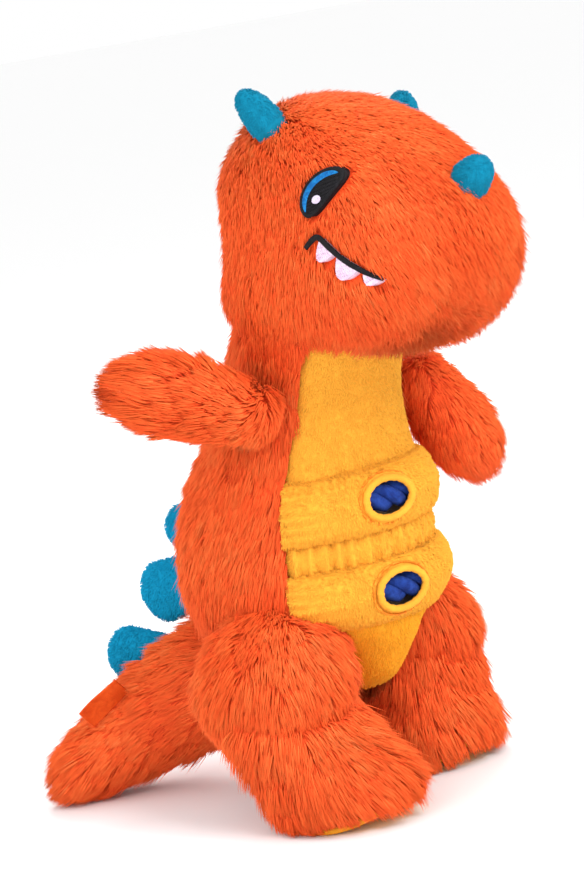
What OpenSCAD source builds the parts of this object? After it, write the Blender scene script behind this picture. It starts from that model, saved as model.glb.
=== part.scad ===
/* [Torso] */
// Height of the lowest point of the belly above the floor
torso_low = 42; // [41:0.5:44]
// Height of the top of the neck above the floor
torso_top = 178; // [176:0.5:178.5]
// Half width of the torso at its widest
torso_half_width = 50; // [46:0.5:51]
// Half depth of the torso at its widest
torso_half_depth = 50; // [46:0.5:51]
// Thickness of the fur panels, backing and pile together
fur_thick = 4; // [2.5:0.25:5]
// Thickness of the velour panels
velour_thick = 2; // [1:0.25:3]
// Angle from straight ahead to each belly seam
belly_seam = 57; // [50:1:62]

/* [Belly bands] */
// Height of the middle of the upper band
upper_band_z = 123; // [120:0.5:126]
// Height of the middle of the lower band
lower_band_z = 86; // [83:0.5:88]
// Height of one band
band_height = 25; // [22:0.5:27]
// How far a band stands out from the belly
band_puff = 8; // [7:0.25:10]
// Width of a window
window_width = 23; // [14:0.5:24]
// Height of a window
window_height = 15; // [9:0.5:16]
// Width of the stitched rim round a window
rim_width = 2.6; // [1.5:0.1:3.2]
// Radius of one fleece strand
strand_r = 2.3; // [1.8:0.1:2.4]

/* [Head] */
// Half width of the head
head_half_width = 47; // [42:0.5:50]
// Sideways tilt of the head towards its left shoulder
head_tilt = 6; // [0:0.5:7]
// Length of a rear horn
rear_horn = 19; // [14:0.5:24]
// Length of the nose horn
nose_horn = 14; // [11:0.5:18]

/* [Limbs] */
// Radius of an arm
arm_r = 14.5; // [12:0.5:15]
// Length of an arm from its pivot to its tip
arm_length = 54; // [46:1:58]
// Radius of the round top of a leg
hip_r = 27; // [24:0.5:27.5]
// Half width of a foot
foot_half_width = 25.5; // [22:0.5:26.5]
// Length of a sole
sole_length = 60; // [56:1:62]
// Thickness of a sole
sole_thick = 3; // [2:0.25:4]
// How far the right foot stands ahead of the left one
stride = 28; // [10:1:29]
// Radius of the tail at its root
tail_r = 23.5; // [20:0.5:24]

/* [Plates and tag] */
// Thickness of a back plate
plate_thick = 8; // [5:0.5:10]
// Width of the folded tag
tag_width = 21; // [12:0.5:22]
// Length of the folded tag
tag_length = 12; // [8:0.5:14]

/* [Hidden] */

ORANGE = [0.98, 0.35, 0.12];
YELLOW = [1.0, 0.69, 0.2];
AMBER = [0.98, 0.57, 0.12];
CYAN = [0.0, 0.59, 0.75];
NAVY = [0.12, 0.25, 0.55];
INK = [0.03, 0.03, 0.04];
IRIS = [0.0, 0.51, 0.78];
TOOTH = [0.92, 0.84, 0.92];
FIBRE = [0.95, 0.95, 0.93];

RIGHT = -1;
LEFT = 1;
GAP = 0.5;              // clearance between a skin and its filling
EPS = 0.05;
AROUND = 20;            // points round a limb, the torso and the head
STEPS = 20;             // rings along the torso

// The whole model is moved so that its bounding box is centred on the origin
PLACE = [6.8, 3.4, 0];

// ---- Curves ----

function cubic(a, b, c, d, u) =
    (2 * b + (c - a) * u + (2 * a - 5 * b + 4 * c - d) * u * u + (3 * b - a - 3 * c + d) * u * u * u) / 2;

// Smooth curve through the points p, for t from 0 to 1
function curve(p, t) =
    let (n = len(p) - 1, s = min(max(t, 0), 1) * n, i = min(floor(s), n - 1))
    cubic(p[max(i - 1, 0)], p[i], p[i + 1], p[min(i + 2, n)], s - i);

// Smooth closed curve through the values p, for t from 0 to 1
function closed_curve(p, t) =
    let (n = len(p), s = (t - floor(t)) * n, i = floor(s))
    cubic(p[(i + n - 1) % n], p[i % n], p[(i + 1) % n], p[(i + 2) % n], s - i);

function power_sign(v, e) = sign(v) * pow(abs(v), e);
function unit(v) = v / norm(v);
function blend(a, b, u) = a + (b - a) * u;
function reversed(list) = [for (i = [len(list) - 1:-1:0]) list[i]];

// ---- Closed solids from rings of points ----

function ring_faces(rings, n, closed) = [
    for (i = [0:closed ? rings - 1 : rings - 2], j = [0:n - 1])
        let (k = (i + 1) % rings, m = (j + 1) % n)
        each [[i * n + j, k * n + m, k * n + j], [i * n + j, i * n + m, k * n + m]]
];

function face_volume(p, f) = [for (k = [1:len(f) - 2]) 1] * [for (k = [1:len(f) - 2])
    p[f[0]] * cross(p[f[k]], p[f[k + 1]])];

// A polyhedron whose faces are turned outward, whichever way its rings run
module turned_out(points, faces) {
    volume = [for (f = faces) 1] * [for (f = faces) face_volume(points, f)];
    polyhedron(points = points, faces = volume < 0 ? faces : [for (f = faces) reversed(f)]);
}

module loft(rings) {
    n = len(rings[0]);
    last = (len(rings) - 1) * n;
    turned_out(
        [for (r = rings) each r],
        concat(
            ring_faces(len(rings), n, false),
            [[for (j = [n - 1:-1:0]) j]],
            [[for (j = [0:n - 1]) last + j]]));
}

module loop_loft(rings) {
    turned_out([for (r = rings) each r], ring_faces(len(rings), len(rings[0]), true));
}

// A curved slab between two grids of points that have the same rows and columns
module slab(outer, inner) {
    cols = len(outer[0]);
    n = 2 * cols;
    end = (len(outer) - 1) * n;
    turned_out(
        [for (i = [0:len(outer) - 1]) each concat(outer[i], reversed(inner[i]))],
        concat(
            ring_faces(len(outer), n, false),
            [for (j = [0:cols - 2]) each [[n - 1 - j, n - 2 - j, j + 1], [n - 1 - j, j + 1, j]]],
            [for (j = [0:cols - 2]) each [
                [end + j, end + j + 1, end + n - 2 - j],
                [end + j, end + n - 2 - j, end + n - 1 - j]]]));
}

// ---- Torso ----

// Each station: height, middle of the depth, half width, half depth
W = torso_half_width;
D = torso_half_depth;
TORSO = [
    [torso_low, -14, 8, 10],
    [48, -12, 13, 25],
    [58, -9, 19, 36],
    [69, -6, 31, 45],
    [82, -4, W - 3, D - 1],
    [102, -4, W, D],
    [124, -7, W - 3, D - 3],
    [144, -12, W - 9, D - 9],
    [160, -18, W - 15, D - 14],
    [171, -22, 32, 32],
    [176, -23, 29, 28],
    [torso_top, -24, 10, 10]
];
KEEL = 1.14;            // how much deeper the back is than the front
KEEL_POWER = 1.12;      // above 1 the back comes to a soft ridge

// Point on the torso: t along it, a round it from straight ahead, d outward from the surface
function torso_point(t, a, d = 0) =
    let (
        s = curve(TORSO, t),
        back = cos(a) < 0,
        x = (s[2] + d) * power_sign(sin(a), back ? KEEL_POWER : 1),
        y = (s[3] * (back ? KEEL : 1) + d) * power_sign(cos(a), back ? KEEL_POWER : 1))
    [x, s[1] - y, s[0]];

// Position along the torso of a height, found by halving
function torso_t(z, lo = 0, hi = 1, n = 18) =
    n == 0 ? (lo + hi) / 2 :
    let (mid = (lo + hi) / 2)
    curve(TORSO, mid)[0] < z ? torso_t(z, mid, hi, n - 1) : torso_t(z, lo, mid, n - 1);

function back_y(z) = torso_point(torso_t(z), 180)[1];

END_T = 0.035;          // the skins stop this far short of each end

module torso_patch(z0, z1, a0, a1, out, in, rows, cols, puff = 0) {
    t0 = torso_t(z0);
    t1 = torso_t(z1);
    function bulge(i) = puff * pow(sin(180 * i / rows), 0.55);
    outer = [for (i = [0:rows]) [for (j = [0:cols])
        torso_point(blend(t0, t1, i / rows), blend(a0, a1, j / cols), out + bulge(i))]];
    inner = [for (i = [0:rows]) [for (j = [0:cols])
        torso_point(blend(t0, t1, i / rows), blend(a0, a1, j / cols), in + bulge(i))]];
    slab(outer, inner);
}

SKIN_LOW = curve(TORSO, END_T)[0];
SKIN_TOP = curve(TORSO, 1 - END_T)[0];
UPPER_LOW = upper_band_z - band_height / 2;
UPPER_TOP = upper_band_z + band_height / 2;
LOWER_LOW = lower_band_z - band_height / 2;
LOWER_TOP = lower_band_z + band_height / 2;
SEAM_GAP = 0.25;        // angle left between a panel and the next one

module torso_fur(side) {
    color(ORANGE)
        torso_patch(SKIN_LOW, SKIN_TOP,
            side == LEFT ? belly_seam + SEAM_GAP : -180 + SEAM_GAP,
            side == LEFT ? 180 - SEAM_GAP : -belly_seam - SEAM_GAP,
            0, -fur_thick, STEPS, 10);
}

module belly_patch(z0, z1, shade) {
    color(shade)
        torso_patch(z0 + EPS, z1 - EPS, -belly_seam, belly_seam, 0, -velour_thick, 5, 10);
}

module chest_panel() {
    belly_patch(UPPER_TOP, SKIN_TOP, YELLOW);
}

module lower_belly_panel() {
    belly_patch(SKIN_LOW, LOWER_LOW, AMBER);
}

PLEATS = 16;            // folds across the gathered strip
PLEAT_DEPTH = 0.9;

module gathered_strip() {
    rows = 3;
    cols = PLEATS * 4;
    t0 = torso_t(LOWER_TOP + EPS);
    t1 = torso_t(UPPER_LOW - EPS);
    function fold(j) = PLEAT_DEPTH * sin(360 * PLEATS * j / cols);
    function grid(d) = [for (i = [0:rows]) [for (j = [0:cols])
        torso_point(blend(t0, t1, i / rows), blend(-belly_seam, belly_seam, j / cols), d + fold(j))]];
    color(YELLOW)
        slab(grid(-0.5), grid(-0.5 - velour_thick));
}

WINDOW_TURN = -8;       // the windows sit this far round from straight ahead

// An oval post through a window at height z, from near to far outside the band's surface
module window_post(z, width, height, near, far) {
    p = torso_point(torso_t(z), WINDOW_TURN, band_puff);
    translate(p)
        rotate([90, 0, WINDOW_TURN])
            translate([0, 0, near])
                linear_extrude(far - near)
                    scale([width / height, 1])
                        circle(d = height, $fn = 40);
}

module band(z) {
    color(YELLOW)
        difference() {
            torso_patch(z - band_height / 2 + EPS, z + band_height / 2 - EPS,
                -belly_seam, belly_seam, 0, -velour_thick, 8, 14, band_puff);
            window_post(z, window_width, window_height, -8, 5);
        }
}

module window_rim(z) {
    color(AMBER)
        difference() {
            window_post(z, window_width - 2 * EPS, window_height - 2 * EPS, -3, 1.4);
            window_post(z, window_width - rim_width, window_height - rim_width, -4, 2.4);
        }
}

STRAND_SIDES = 8;
STRAND_STEPS = 30;
TWIST = 3.1;            // distance of each strand from the middle of its rope
TURNS = 2.2;            // turns over the length of the rope
ROPE_OUT = 0.3;         // how far the rope's middle stands out from the belly surface
ROPE_REACH = 44;        // angle from straight ahead to each end of the rope

function rope_point(z, k, s) =
    let (turn = -360 * (TURNS * s + k / 3))
    torso_point(torso_t(z + TWIST * sin(turn)), blend(-ROPE_REACH, ROPE_REACH, s),
        ROPE_OUT + TWIST * cos(turn));

module strand(z, k) {
    rings = [for (i = [0:STRAND_STEPS])
        let (
            s = i / STRAND_STEPS,
            p = rope_point(z, k, s),
            along = unit(rope_point(z, k, s + 0.01) - rope_point(z, k, s - 0.01)),
            side = unit(cross(along, [0, 0, 1])),
            up = cross(side, along))
        [for (j = [0:STRAND_SIDES - 1])
            p + strand_r * (side * cos(360 * j / STRAND_SIDES) + up * sin(360 * j / STRAND_SIDES))]];
    color(NAVY)
        loft(rings);
}

ROPE_BED = -fur_thick - GAP - 1.2;  // the filling lies this far inside the surface

module torso_stuffing() {
    rings = [for (i = [0:STEPS])
        let (t = blend(END_T, 1 - END_T, i / STEPS))
        [for (j = [0:AROUND - 1]) torso_point(t, 360 * j / AROUND - 180, ROPE_BED)]];
    color(FIBRE)
        loft(rings);
}

// ---- Head ----

HEAD_MIDDLE = [0, -72, 228];
// Distance from the middle to the outline every 30 degrees, from straight back, up and over to the front
OUTLINE = [64, 67, 59, 50, 46, 47, 54, 56, 48, 42, 47, 71];
PILLOW = 2.7;           // how square the head's sides are

function outline(a) = closed_curve(OUTLINE, a / 360);

// Point on the head: side, angle a round the outline, q from the middle of the side (0) to the outline (1)
function head_point(side, a, q, inset = 0) =
    let (r = (outline(a) - inset) * q, x = (head_half_width - inset) * pow(1 - pow(q, PILLOW), 1 / PILLOW))
    HEAD_MIDDLE + [side * x, r * cos(a), r * sin(a)];

// Distance q of a given half width, as part of the head's own
function head_q(x) = pow(1 - pow(x / head_half_width, PILLOW), 1 / PILLOW);

function head_ring(side, q, inset) = [for (j = [0:AROUND - 1]) head_point(side, 360 * j / AROUND, q, inset)];

// The point of the side's surface at depth y and height z
function cheek(side, y, z, lift) =
    let (
        v = [y - HEAD_MIDDLE[1], z - HEAD_MIDDLE[2]],
        a = atan2(v[1], v[0]),
        q = norm(v) / outline(a))
    HEAD_MIDDLE + [side * (head_half_width * pow(1 - pow(q, PILLOW), 1 / PILLOW) + lift), v[0], v[1]];

module head_place() {
    translate(HEAD_MIDDLE)
        rotate([0, head_tilt, 0])
            translate(-HEAD_MIDDLE)
                children();
}

GUSSET_X = 31;          // half width of the gusset between the side panels
Q_SEAM = head_q(GUSSET_X);
Q_MIDDLE = 0.06;

module head_side(side) {
    q_out = [for (i = [0:6]) blend(Q_MIDDLE, Q_SEAM - 0.002, i / 6)];
    q_in = reversed(q_out);
    rings = concat(
        [for (q = q_out) head_ring(side, q, 0)],
        [for (q = q_in) head_ring(side, q, fur_thick)]);
    color(ORANGE)
        head_place()
            loft(rings);
}

module head_gusset() {
    half = [for (i = [0:4]) blend(Q_SEAM, 1, i / 4)];
    outer = concat(
        [for (q = half) head_ring(LEFT, q, 0)],
        [for (i = [3:-1:0]) head_ring(RIGHT, half[i], 0)]);
    inner = concat(
        [for (q = half) head_ring(LEFT, q, fur_thick)],
        [for (i = [3:-1:0]) head_ring(RIGHT, half[i], fur_thick)]);
    color(ORANGE)
        head_place()
            loop_loft(concat(outer, reversed(inner)));
}

module head_stuffing() {
    q = [for (i = [0:7]) blend(Q_MIDDLE, 1, i / 7)];
    gap = fur_thick + GAP;
    color(FIBRE)
        head_place()
            loft(concat(
                [for (v = q) head_ring(RIGHT, v, gap)],
                [for (i = [6:-1:0]) head_ring(LEFT, q[i], gap)]));
}

// A slab on the cheek between a flat outline, given as [y, z] points, and its middle
module cheek_slab(side, outline_points, low, high) {
    middle = [for (p = outline_points) 1 / len(outline_points)] * outline_points;
    function ring(scale, lift) = [for (p = outline_points)
        let (w = middle + (p - middle) * scale)
        cheek(side, w[0], w[1], lift)];
    rings = [ring(0.1, low), ring(0.55, low), ring(1, low), ring(1, high), ring(0.55, high), ring(0.1, high)];
    head_place()
        loft(rings);
}

EYE = [-87, 245];
EYE_LONG = 12;
EYE_WIDE = 8;
EYE_LEAN = 140;
LEVEL = 0.15;           // embroidery starts this far above the fur backing
THREAD = 1.0;           // thickness of one layer of embroidery
IRIS_THICK = 0.6;
GLINT = [1.5, -3];      // from the eye's middle
GLINT_LONG = 2.6;
GLINT_WIDE = 1.8;
GLINT_LEAN = 40;

function oval(centre, long, wide, lean, n = 20) = [for (i = [0:n - 1])
    let (a = 360 * i / n, p = [long * cos(a), wide * sin(a)])
    centre + [p[0] * cos(lean) - p[1] * sin(lean), p[0] * sin(lean) + p[1] * cos(lean)]];

module eye(side) {
    color(INK) cheek_slab(side, oval(EYE, EYE_LONG, EYE_WIDE, EYE_LEAN), LEVEL, LEVEL + THREAD);
}

// The crescent runs round the eye's upper rear edge
module iris(side) {
    n = 12;
    function edge(k, i) = oval(EYE, EYE_LONG * k, EYE_WIDE * k, EYE_LEAN, 40)[(i + 24) % 40];
    low = LEVEL + THREAD + EPS;
    function grid(lift) = [for (i = [0:n]) [for (k = [0.86, 0.62])
        let (p = edge(k, i))
        cheek(side, p[0], p[1], lift)]];
    color(IRIS)
        head_place()
            slab(grid(low + IRIS_THICK), grid(low));
}

module glint(side) {
    low = LEVEL + THREAD + EPS;
    color("white")
        cheek_slab(side, oval(EYE + GLINT, GLINT_LONG, GLINT_WIDE, GLINT_LEAN, 12), low, low + IRIS_THICK);
}

MOUTH = [[-76, 226], [-80, 223.5], [-83, 226.5], [-88, 222], [-97, 215], [-106, 209.5], [-112, 207]];

module mouth_line(side) {
    steps = 20;
    half = 1.1;
    function at(s) = curve(MOUTH, s);
    function edge(s, w, lift) =
        let (p = at(s), d = unit(at(s + 0.02) - at(s - 0.02)), c = p + w * [-d[1], d[0]])
        cheek(side, c[0], c[1], lift);
    outer = [for (i = [0:steps]) [edge(i / steps, half, LEVEL + THREAD), edge(i / steps, -half, LEVEL + THREAD)]];
    inner = [for (i = [0:steps]) [edge(i / steps, half, LEVEL), edge(i / steps, -half, LEVEL)]];
    color(INK)
        head_place()
            slab(outer, inner);
}

// Where each tooth hangs along the mouth line, its width and its depth
TEETH = [[0.36, 7, 8.5], [0.6, 7.5, 8.5], [0.82, 5.5, 5]];
TOOTH_DROP = 2.9;       // from the middle of the mouth line to the top of a tooth

module teeth(side) {
    color(TOOTH)
        for (t = TEETH) {
            p = curve(MOUTH, t[0]);
            d = unit(curve(MOUTH, t[0] + 0.05) - curve(MOUTH, t[0] - 0.05));
            down = [-d[1], d[0]][1] < 0 ? [-d[1], d[0]] : [d[1], -d[0]];
            root = p + down * TOOTH_DROP;
            cheek_slab(side, [
                root - d * t[1] / 2,
                root + down * t[2] * 0.55 - d * t[1] * 0.36,
                root + down * t[2] - d * t[1] * 0.1,
                root + down * t[2] + d * t[1] * 0.1,
                root + down * t[2] * 0.55 + d * t[1] * 0.36,
                root + d * t[1] / 2
            ], LEVEL, LEVEL + THREAD);
        }
}

// A rounded cone standing on its base
module horn(length, base_r) {
    n = 14;
    rotate_extrude($fn = 40)
        polygon(concat(
            [[0, 0]],
            [for (i = [0:n]) let (a = 90 * i / n) [
                base_r * pow(cos(a), 0.85),
                length * pow(sin(a), 1.15)]]));
}

// Stands a horn on the head at angle a round the outline and x across, leaning by lean
module stand_horn(side, a, x, turn, lean) {
    p = head_point(side, a, head_q(x));
    translate(p)
        rotate([0, 0, turn])
            rotate([lean, 0, 0])
                translate([0, 0, 1.5])
                    children();
}

module rear_horn(side) {
    color(CYAN)
        head_place()
            stand_horn(side, 66, 36, side * -62, -58)
                horn(rear_horn, 7.5);
}

module nose_horn() {
    color(CYAN)
        head_place()
            stand_horn(LEFT, 160, 0, 0, 52)
                horn(nose_horn, 8.5);
}

// ---- Limbs ----

// A limb: a round end about its pivot, then stations along a path: point, radius across, radius up
module limb(path) {
    n = 16;
    rings = [for (i = [0:n])
        let (
            s = curve(path, i / n),
            before = curve(path, i / n - 0.02),
            after = curve(path, i / n + 0.02),
            along = unit([for (k = [0:2]) after[k] - before[k]]),
            side = unit(cross(along, [0, 0, 1])),
            up = cross(side, along))
        [for (j = [0:AROUND - 1])
            [s[0], s[1], s[2]]
            + max(s[3], 0.4) * side * cos(360 * j / AROUND)
            + max(s[4], 0.4) * up * sin(360 * j / AROUND)]];
    loft(rings);
}

// Stations of a round end: a ball about p, grown along the direction d
function ball_end(p, d, r) = [for (a = [80, 62, 40, 18]) concat(p - d * r * sin(a), [r * cos(a), r * cos(a)])];

function arm_pivot(side) = [side * 49.5, -34, side == RIGHT ? 168 : 161];
function arm_way(side) = unit(side == RIGHT ? [-58, 26, 26] : [30, -4, -48]);

function arm_path(side, inset) =
    let (p = arm_pivot(side), d = arm_way(side), r = arm_r - inset, far = arm_length - inset)
    concat(ball_end(p, d, r), [
        concat(p, [r, r]),
        concat(p + d * far * 0.35, [r + 0.5, r]),
        concat(p + d * far * 0.65, [r + 1, r]),
        concat(p + d * far * 0.88, [r * 0.8, r * 0.75]),
        concat(p + d * far * 0.98, [r * 0.4, r * 0.38]),
        concat(p + d * far, [0.8, 0.8])
    ]);

module arm_fur(side) {
    color(ORANGE)
        difference() {
            limb(arm_path(side, 0));
            limb(arm_path(side, fur_thick));
        }
}

module arm_stuffing(side) {
    color(FIBRE) limb(arm_path(side, fur_thick + GAP));
}

FOOT_X = 39;            // distance of each foot from the middle plane

function foot_y(side) = -27 + (side == RIGHT ? -stride / 2 : stride / 2);
function hip(side) = [side * 44, foot_y(side) * 0.35 - 4, 41];

// Height of the sole's underside, which curves up towards the toe
TOE_R = 42;
function toe_rise(y, middle, above = 0) =
    let (past = middle - sole_length * 0.08 - y, r = TOE_R - above)
    past > 0 ? r - sqrt(r * r - past * past) : 0;

// A leg: rings stacked from the sole up to the round hip
function leg_rings(side, inset) =
    let (
        h = hip(side),
        f = [side * FOOT_X, foot_y(side)],
        half_l = sole_length / 2,
        levels = [
            [sole_thick + 0.3, 0.97, 0.97], [9, 1.03, 1.02], [18, 1.02, 0.98], [28, 0.98, 0.9]])
    concat(
        [for (s = levels)
            [for (j = [0:AROUND - 1])
                let (
                    a = 360 * j / AROUND,
                    x = (foot_half_width * s[1] - inset) * power_sign(cos(a), 0.9),
                    y = (half_l * s[2] - inset) * power_sign(sin(a), 0.9),
                    shift = (h - [f[0], f[1], 0]) * pow(s[0] / h[2], 1.6))
                [f[0] + shift[0] + x, f[1] + shift[1] + y,
                    s[0] + toe_rise(f[1] + y, f[1], min(s[0], 6)) * (1 - s[0] / 60)
                    + (s[0] == levels[0][0] ? inset : 0)]]],
        [for (e = [4, 24, 42, 58, 74])
            [for (j = [0:AROUND - 1])
                let (a = 360 * j / AROUND, r = hip_r - inset)
                h + [r * cos(e) * cos(a), r * cos(e) * sin(a), r * sin(e)]]]);

module leg_fur(side) {
    color(ORANGE)
        difference() {
            loft(leg_rings(side, 0));
            loft(leg_rings(side, fur_thick));
        }
}

module leg_stuffing(side) {
    color(FIBRE) loft(leg_rings(side, fur_thick + GAP));
}

module sole_outline() {
    scale([foot_half_width * 2 / sole_length, 1])
        circle(d = sole_length, $fn = 64);
}

module sole(side) {
    bend = foot_y(side) - sole_length * 0.08;
    color(AMBER)
        intersection() {
            translate([side * FOOT_X, foot_y(side), -1])
                linear_extrude(40)
                    sole_outline();
            union() {
                translate([side * FOOT_X - 50, bend, 0])
                    cube([100, 60, sole_thick]);
                translate([side * FOOT_X - 50, bend, TOE_R])
                    rotate([0, 90, 0])
                        rotate_extrude(angle = 50, start = -50, $fn = 200)
                            translate([TOE_R - sole_thick, 0])
                                square([sole_thick, 100]);
            }
        }
}

TAIL_PIVOT = [0, 59, 46];
TAIL_WAY = unit([-8, 26, -10]);

function tail_path(inset) =
    let (r = tail_r - inset)
    concat(ball_end(TAIL_PIVOT, TAIL_WAY, r), [
        concat(TAIL_PIVOT, [r, r]),
        [-9, 79, 36, 22.5 - inset, 22.5 - inset],
        [-22, 96, 26, 20 - inset, 19 - inset],
        [-36, 107, 18, 15.5 - inset, 14.5 - inset],
        [-49 + inset / 2, 115 - inset / 2, 12, 10.5 - inset, 9.5 - inset],
        [-54 + inset, 118 - inset, 10.5, 0.8, 0.8]
    ]);

module tail_fur() {
    color(ORANGE)
        difference() {
            limb(tail_path(0));
            limb(tail_path(fur_thick));
        }
}

module tail_stuffing() {
    color(FIBRE) limb(tail_path(fur_thick + GAP));
}

// ---- Back plates ----

// A rounded lobe that stands out from base to tip in the middle plane, as wide as width
module plate(base, tip, width) {
    along = unit(tip - base);
    across = [-along[1], along[0]];
    long = norm(tip - base);
    n = 24;
    points = concat(
        [base - across * width / 2 * 0.8],
        [for (i = [0:n])
            let (a = -90 + 180 * i / n)
            base + along * (long - width / 2 + width / 2 * cos(a)) + across * width / 2 * sin(a)],
        [base + across * width / 2 * 0.8]);
    color(CYAN)
        translate([-plate_thick / 2, 0, 0])
            rotate([90, 0, 90])
                linear_extrude(plate_thick)
                    polygon(points);
}

module back_plate_1() {
    plate([back_y(113) + 2.6, 113], [77, 108], 20);
}

module back_plate_2() {
    plate([back_y(89) + 2, 89], [100, 79], 25);
}

module tail_plate() {
    difference() {
        translate([-3, 70, 0])
            rotate([0, 0, 12])
                translate([0, -70, 0])
                    plate([80, 59], [116, 58], 24);
        limb(tail_path(-0.3));
    }
}

// ---- Tag ----

TAG_ROOT = [-37.3, 92.6, 40.2];
TAG_THICK = 0.9;
TAG_TURN = 52;          // the tag's width runs along the tail, down towards its tip
TAG_TILT = -35;
TAG_LEAN = -35;         // and the tag leans out to the right

module care_tag() {
    color(ORANGE)
        translate(TAG_ROOT)
            rotate([TAG_TILT, 0, TAG_TURN])
                rotate([0, TAG_LEAN, 0])
                    translate([-TAG_THICK / 2, -tag_width / 2, 0])
                        cube([TAG_THICK, tag_width, tag_length]);
}

// ---- Assembly ----

module place() {
    translate(PLACE) children();
}

place() torso_fur(RIGHT);  // torso_fur_right
place() torso_fur(LEFT);  // torso_fur_left
place() torso_stuffing();
place() chest_panel();
place() band(upper_band_z);  // upper_band
place() band(lower_band_z);  // lower_band
place() gathered_strip();
place() lower_belly_panel();
place() window_rim(upper_band_z);  // upper_window_rim
place() window_rim(lower_band_z);  // lower_window_rim
place() strand(upper_band_z, 0);  // upper_strand_1
place() strand(upper_band_z, 1);  // upper_strand_2
place() strand(upper_band_z, 2);  // upper_strand_3
place() strand(lower_band_z, 0);  // lower_strand_1
place() strand(lower_band_z, 1);  // lower_strand_2
place() strand(lower_band_z, 2);  // lower_strand_3
place() back_plate_1();
place() back_plate_2();
place() tail_plate();
place() head_side(RIGHT);  // head_side_right
place() head_side(LEFT);  // head_side_left
place() head_gusset();
place() head_stuffing();
place() rear_horn(RIGHT);  // rear_horn_right
place() rear_horn(LEFT);  // rear_horn_left
place() nose_horn();
place() eye(RIGHT);  // eye_right
place() eye(LEFT);  // eye_left
place() iris(RIGHT);  // iris_right
place() iris(LEFT);  // iris_left
place() glint(RIGHT);  // glint_right
place() glint(LEFT);  // glint_left
place() mouth_line(RIGHT);  // mouth_line_right
place() mouth_line(LEFT);  // mouth_line_left
place() teeth(RIGHT);  // teeth_right
place() teeth(LEFT);  // teeth_left
place() arm_fur(RIGHT);  // arm_fur_right
place() arm_fur(LEFT);  // arm_fur_left
place() arm_stuffing(RIGHT);  // arm_stuffing_right
place() arm_stuffing(LEFT);  // arm_stuffing_left
place() leg_fur(RIGHT);  // leg_fur_right
place() leg_fur(LEFT);  // leg_fur_left
place() leg_stuffing(RIGHT);  // leg_stuffing_right
place() leg_stuffing(LEFT);  // leg_stuffing_left
place() sole(RIGHT);  // sole_right
place() sole(LEFT);  // sole_left
place() tail_fur();
place() tail_stuffing();
place() care_tag();
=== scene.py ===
import math

import bpy
import numpy as np
from mathutils import Matrix, Vector, kdtree


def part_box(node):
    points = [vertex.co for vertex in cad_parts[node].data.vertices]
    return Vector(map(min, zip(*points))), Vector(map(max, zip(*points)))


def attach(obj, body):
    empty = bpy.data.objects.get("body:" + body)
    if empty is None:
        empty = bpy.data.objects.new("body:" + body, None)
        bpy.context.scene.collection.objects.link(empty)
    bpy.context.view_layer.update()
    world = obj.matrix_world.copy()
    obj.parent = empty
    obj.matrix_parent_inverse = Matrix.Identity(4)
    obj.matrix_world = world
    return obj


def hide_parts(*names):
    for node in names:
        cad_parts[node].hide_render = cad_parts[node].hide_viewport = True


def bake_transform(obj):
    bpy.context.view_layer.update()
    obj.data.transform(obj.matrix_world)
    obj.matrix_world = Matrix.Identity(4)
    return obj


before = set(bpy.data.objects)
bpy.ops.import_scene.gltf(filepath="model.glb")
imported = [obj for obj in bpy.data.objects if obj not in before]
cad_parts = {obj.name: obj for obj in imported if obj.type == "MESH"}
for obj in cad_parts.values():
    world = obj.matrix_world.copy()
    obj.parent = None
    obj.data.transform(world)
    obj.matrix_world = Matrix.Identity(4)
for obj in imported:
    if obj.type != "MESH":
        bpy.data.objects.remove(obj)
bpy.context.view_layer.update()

# Shapes are worked out in millimetres in the toy's own frame: it faces -Y, its left is +X and the floor is
# z 0. place() moves them to the CAD's frame, in metres.
MM = 0.001
RIGHT, LEFT = -1, 1
SIDE_NAME = {RIGHT: "right", LEFT: "left"}
FEET_MIDDLE_Y = -27


def node_middle(node):
    low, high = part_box(node)
    return np.array((low + high) / 2) / MM


FEET = (node_middle("sole_right") + node_middle("sole_left")) / 2
PLACE = np.array([FEET[0], FEET[1] - FEET_MIDDLE_Y, 0.0])


def place(points):
    return (np.asarray(points, float) + PLACE) * MM


# ---------------------------------------------------------------- curves and noise

def unit(v):
    v = np.asarray(v, float)
    return v / np.maximum(np.linalg.norm(v, axis=-1, keepdims=True), 1e-9)


def cubic(a, b, c, d, u):
    return (2 * b + (c - a) * u + (2 * a - 5 * b + 4 * c - d) * u**2 + (3 * b - a - 3 * c + d) * u**3) / 2


def curve(points, t):
    """Smooth curve through points, for t from 0 to 1."""
    p = np.asarray(points, float)
    n = len(p) - 1
    s = np.clip(t, 0, 1) * n
    i = np.minimum(np.floor(s).astype(int), n - 1)
    u = (s - i)[..., None]
    return cubic(p[np.maximum(i - 1, 0)], p[i], p[i + 1], p[np.minimum(i + 2, n)], u)


def closed_curve(values, t):
    v = np.asarray(values, float)
    n = len(v)
    s = (t - np.floor(t)) * n
    i = np.floor(s).astype(int)
    return cubic(v[(i - 1) % n], v[i % n], v[(i + 1) % n], v[(i + 2) % n], s - i)


def power_sign(v, e):
    return np.sign(v) * np.abs(v) ** e


def circle(n):
    """n angles evenly round a circle, in radians."""
    return np.linspace(0, 2 * math.pi, n, endpoint=False)


def wobble(points, size, seed):
    """Smooth noise about -1 to 1, whose lumps are about size mm across."""
    rng = np.random.default_rng(seed)
    total = 0
    for _ in range(7):
        way = unit(rng.normal(size=3)) * (2 * math.pi / (size * rng.uniform(1.4, 3.0)))
        total = total + np.sin(points @ way + rng.uniform(0, 6.28))
    return total / 3.2


# ---------------------------------------------------------------- meshes

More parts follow.
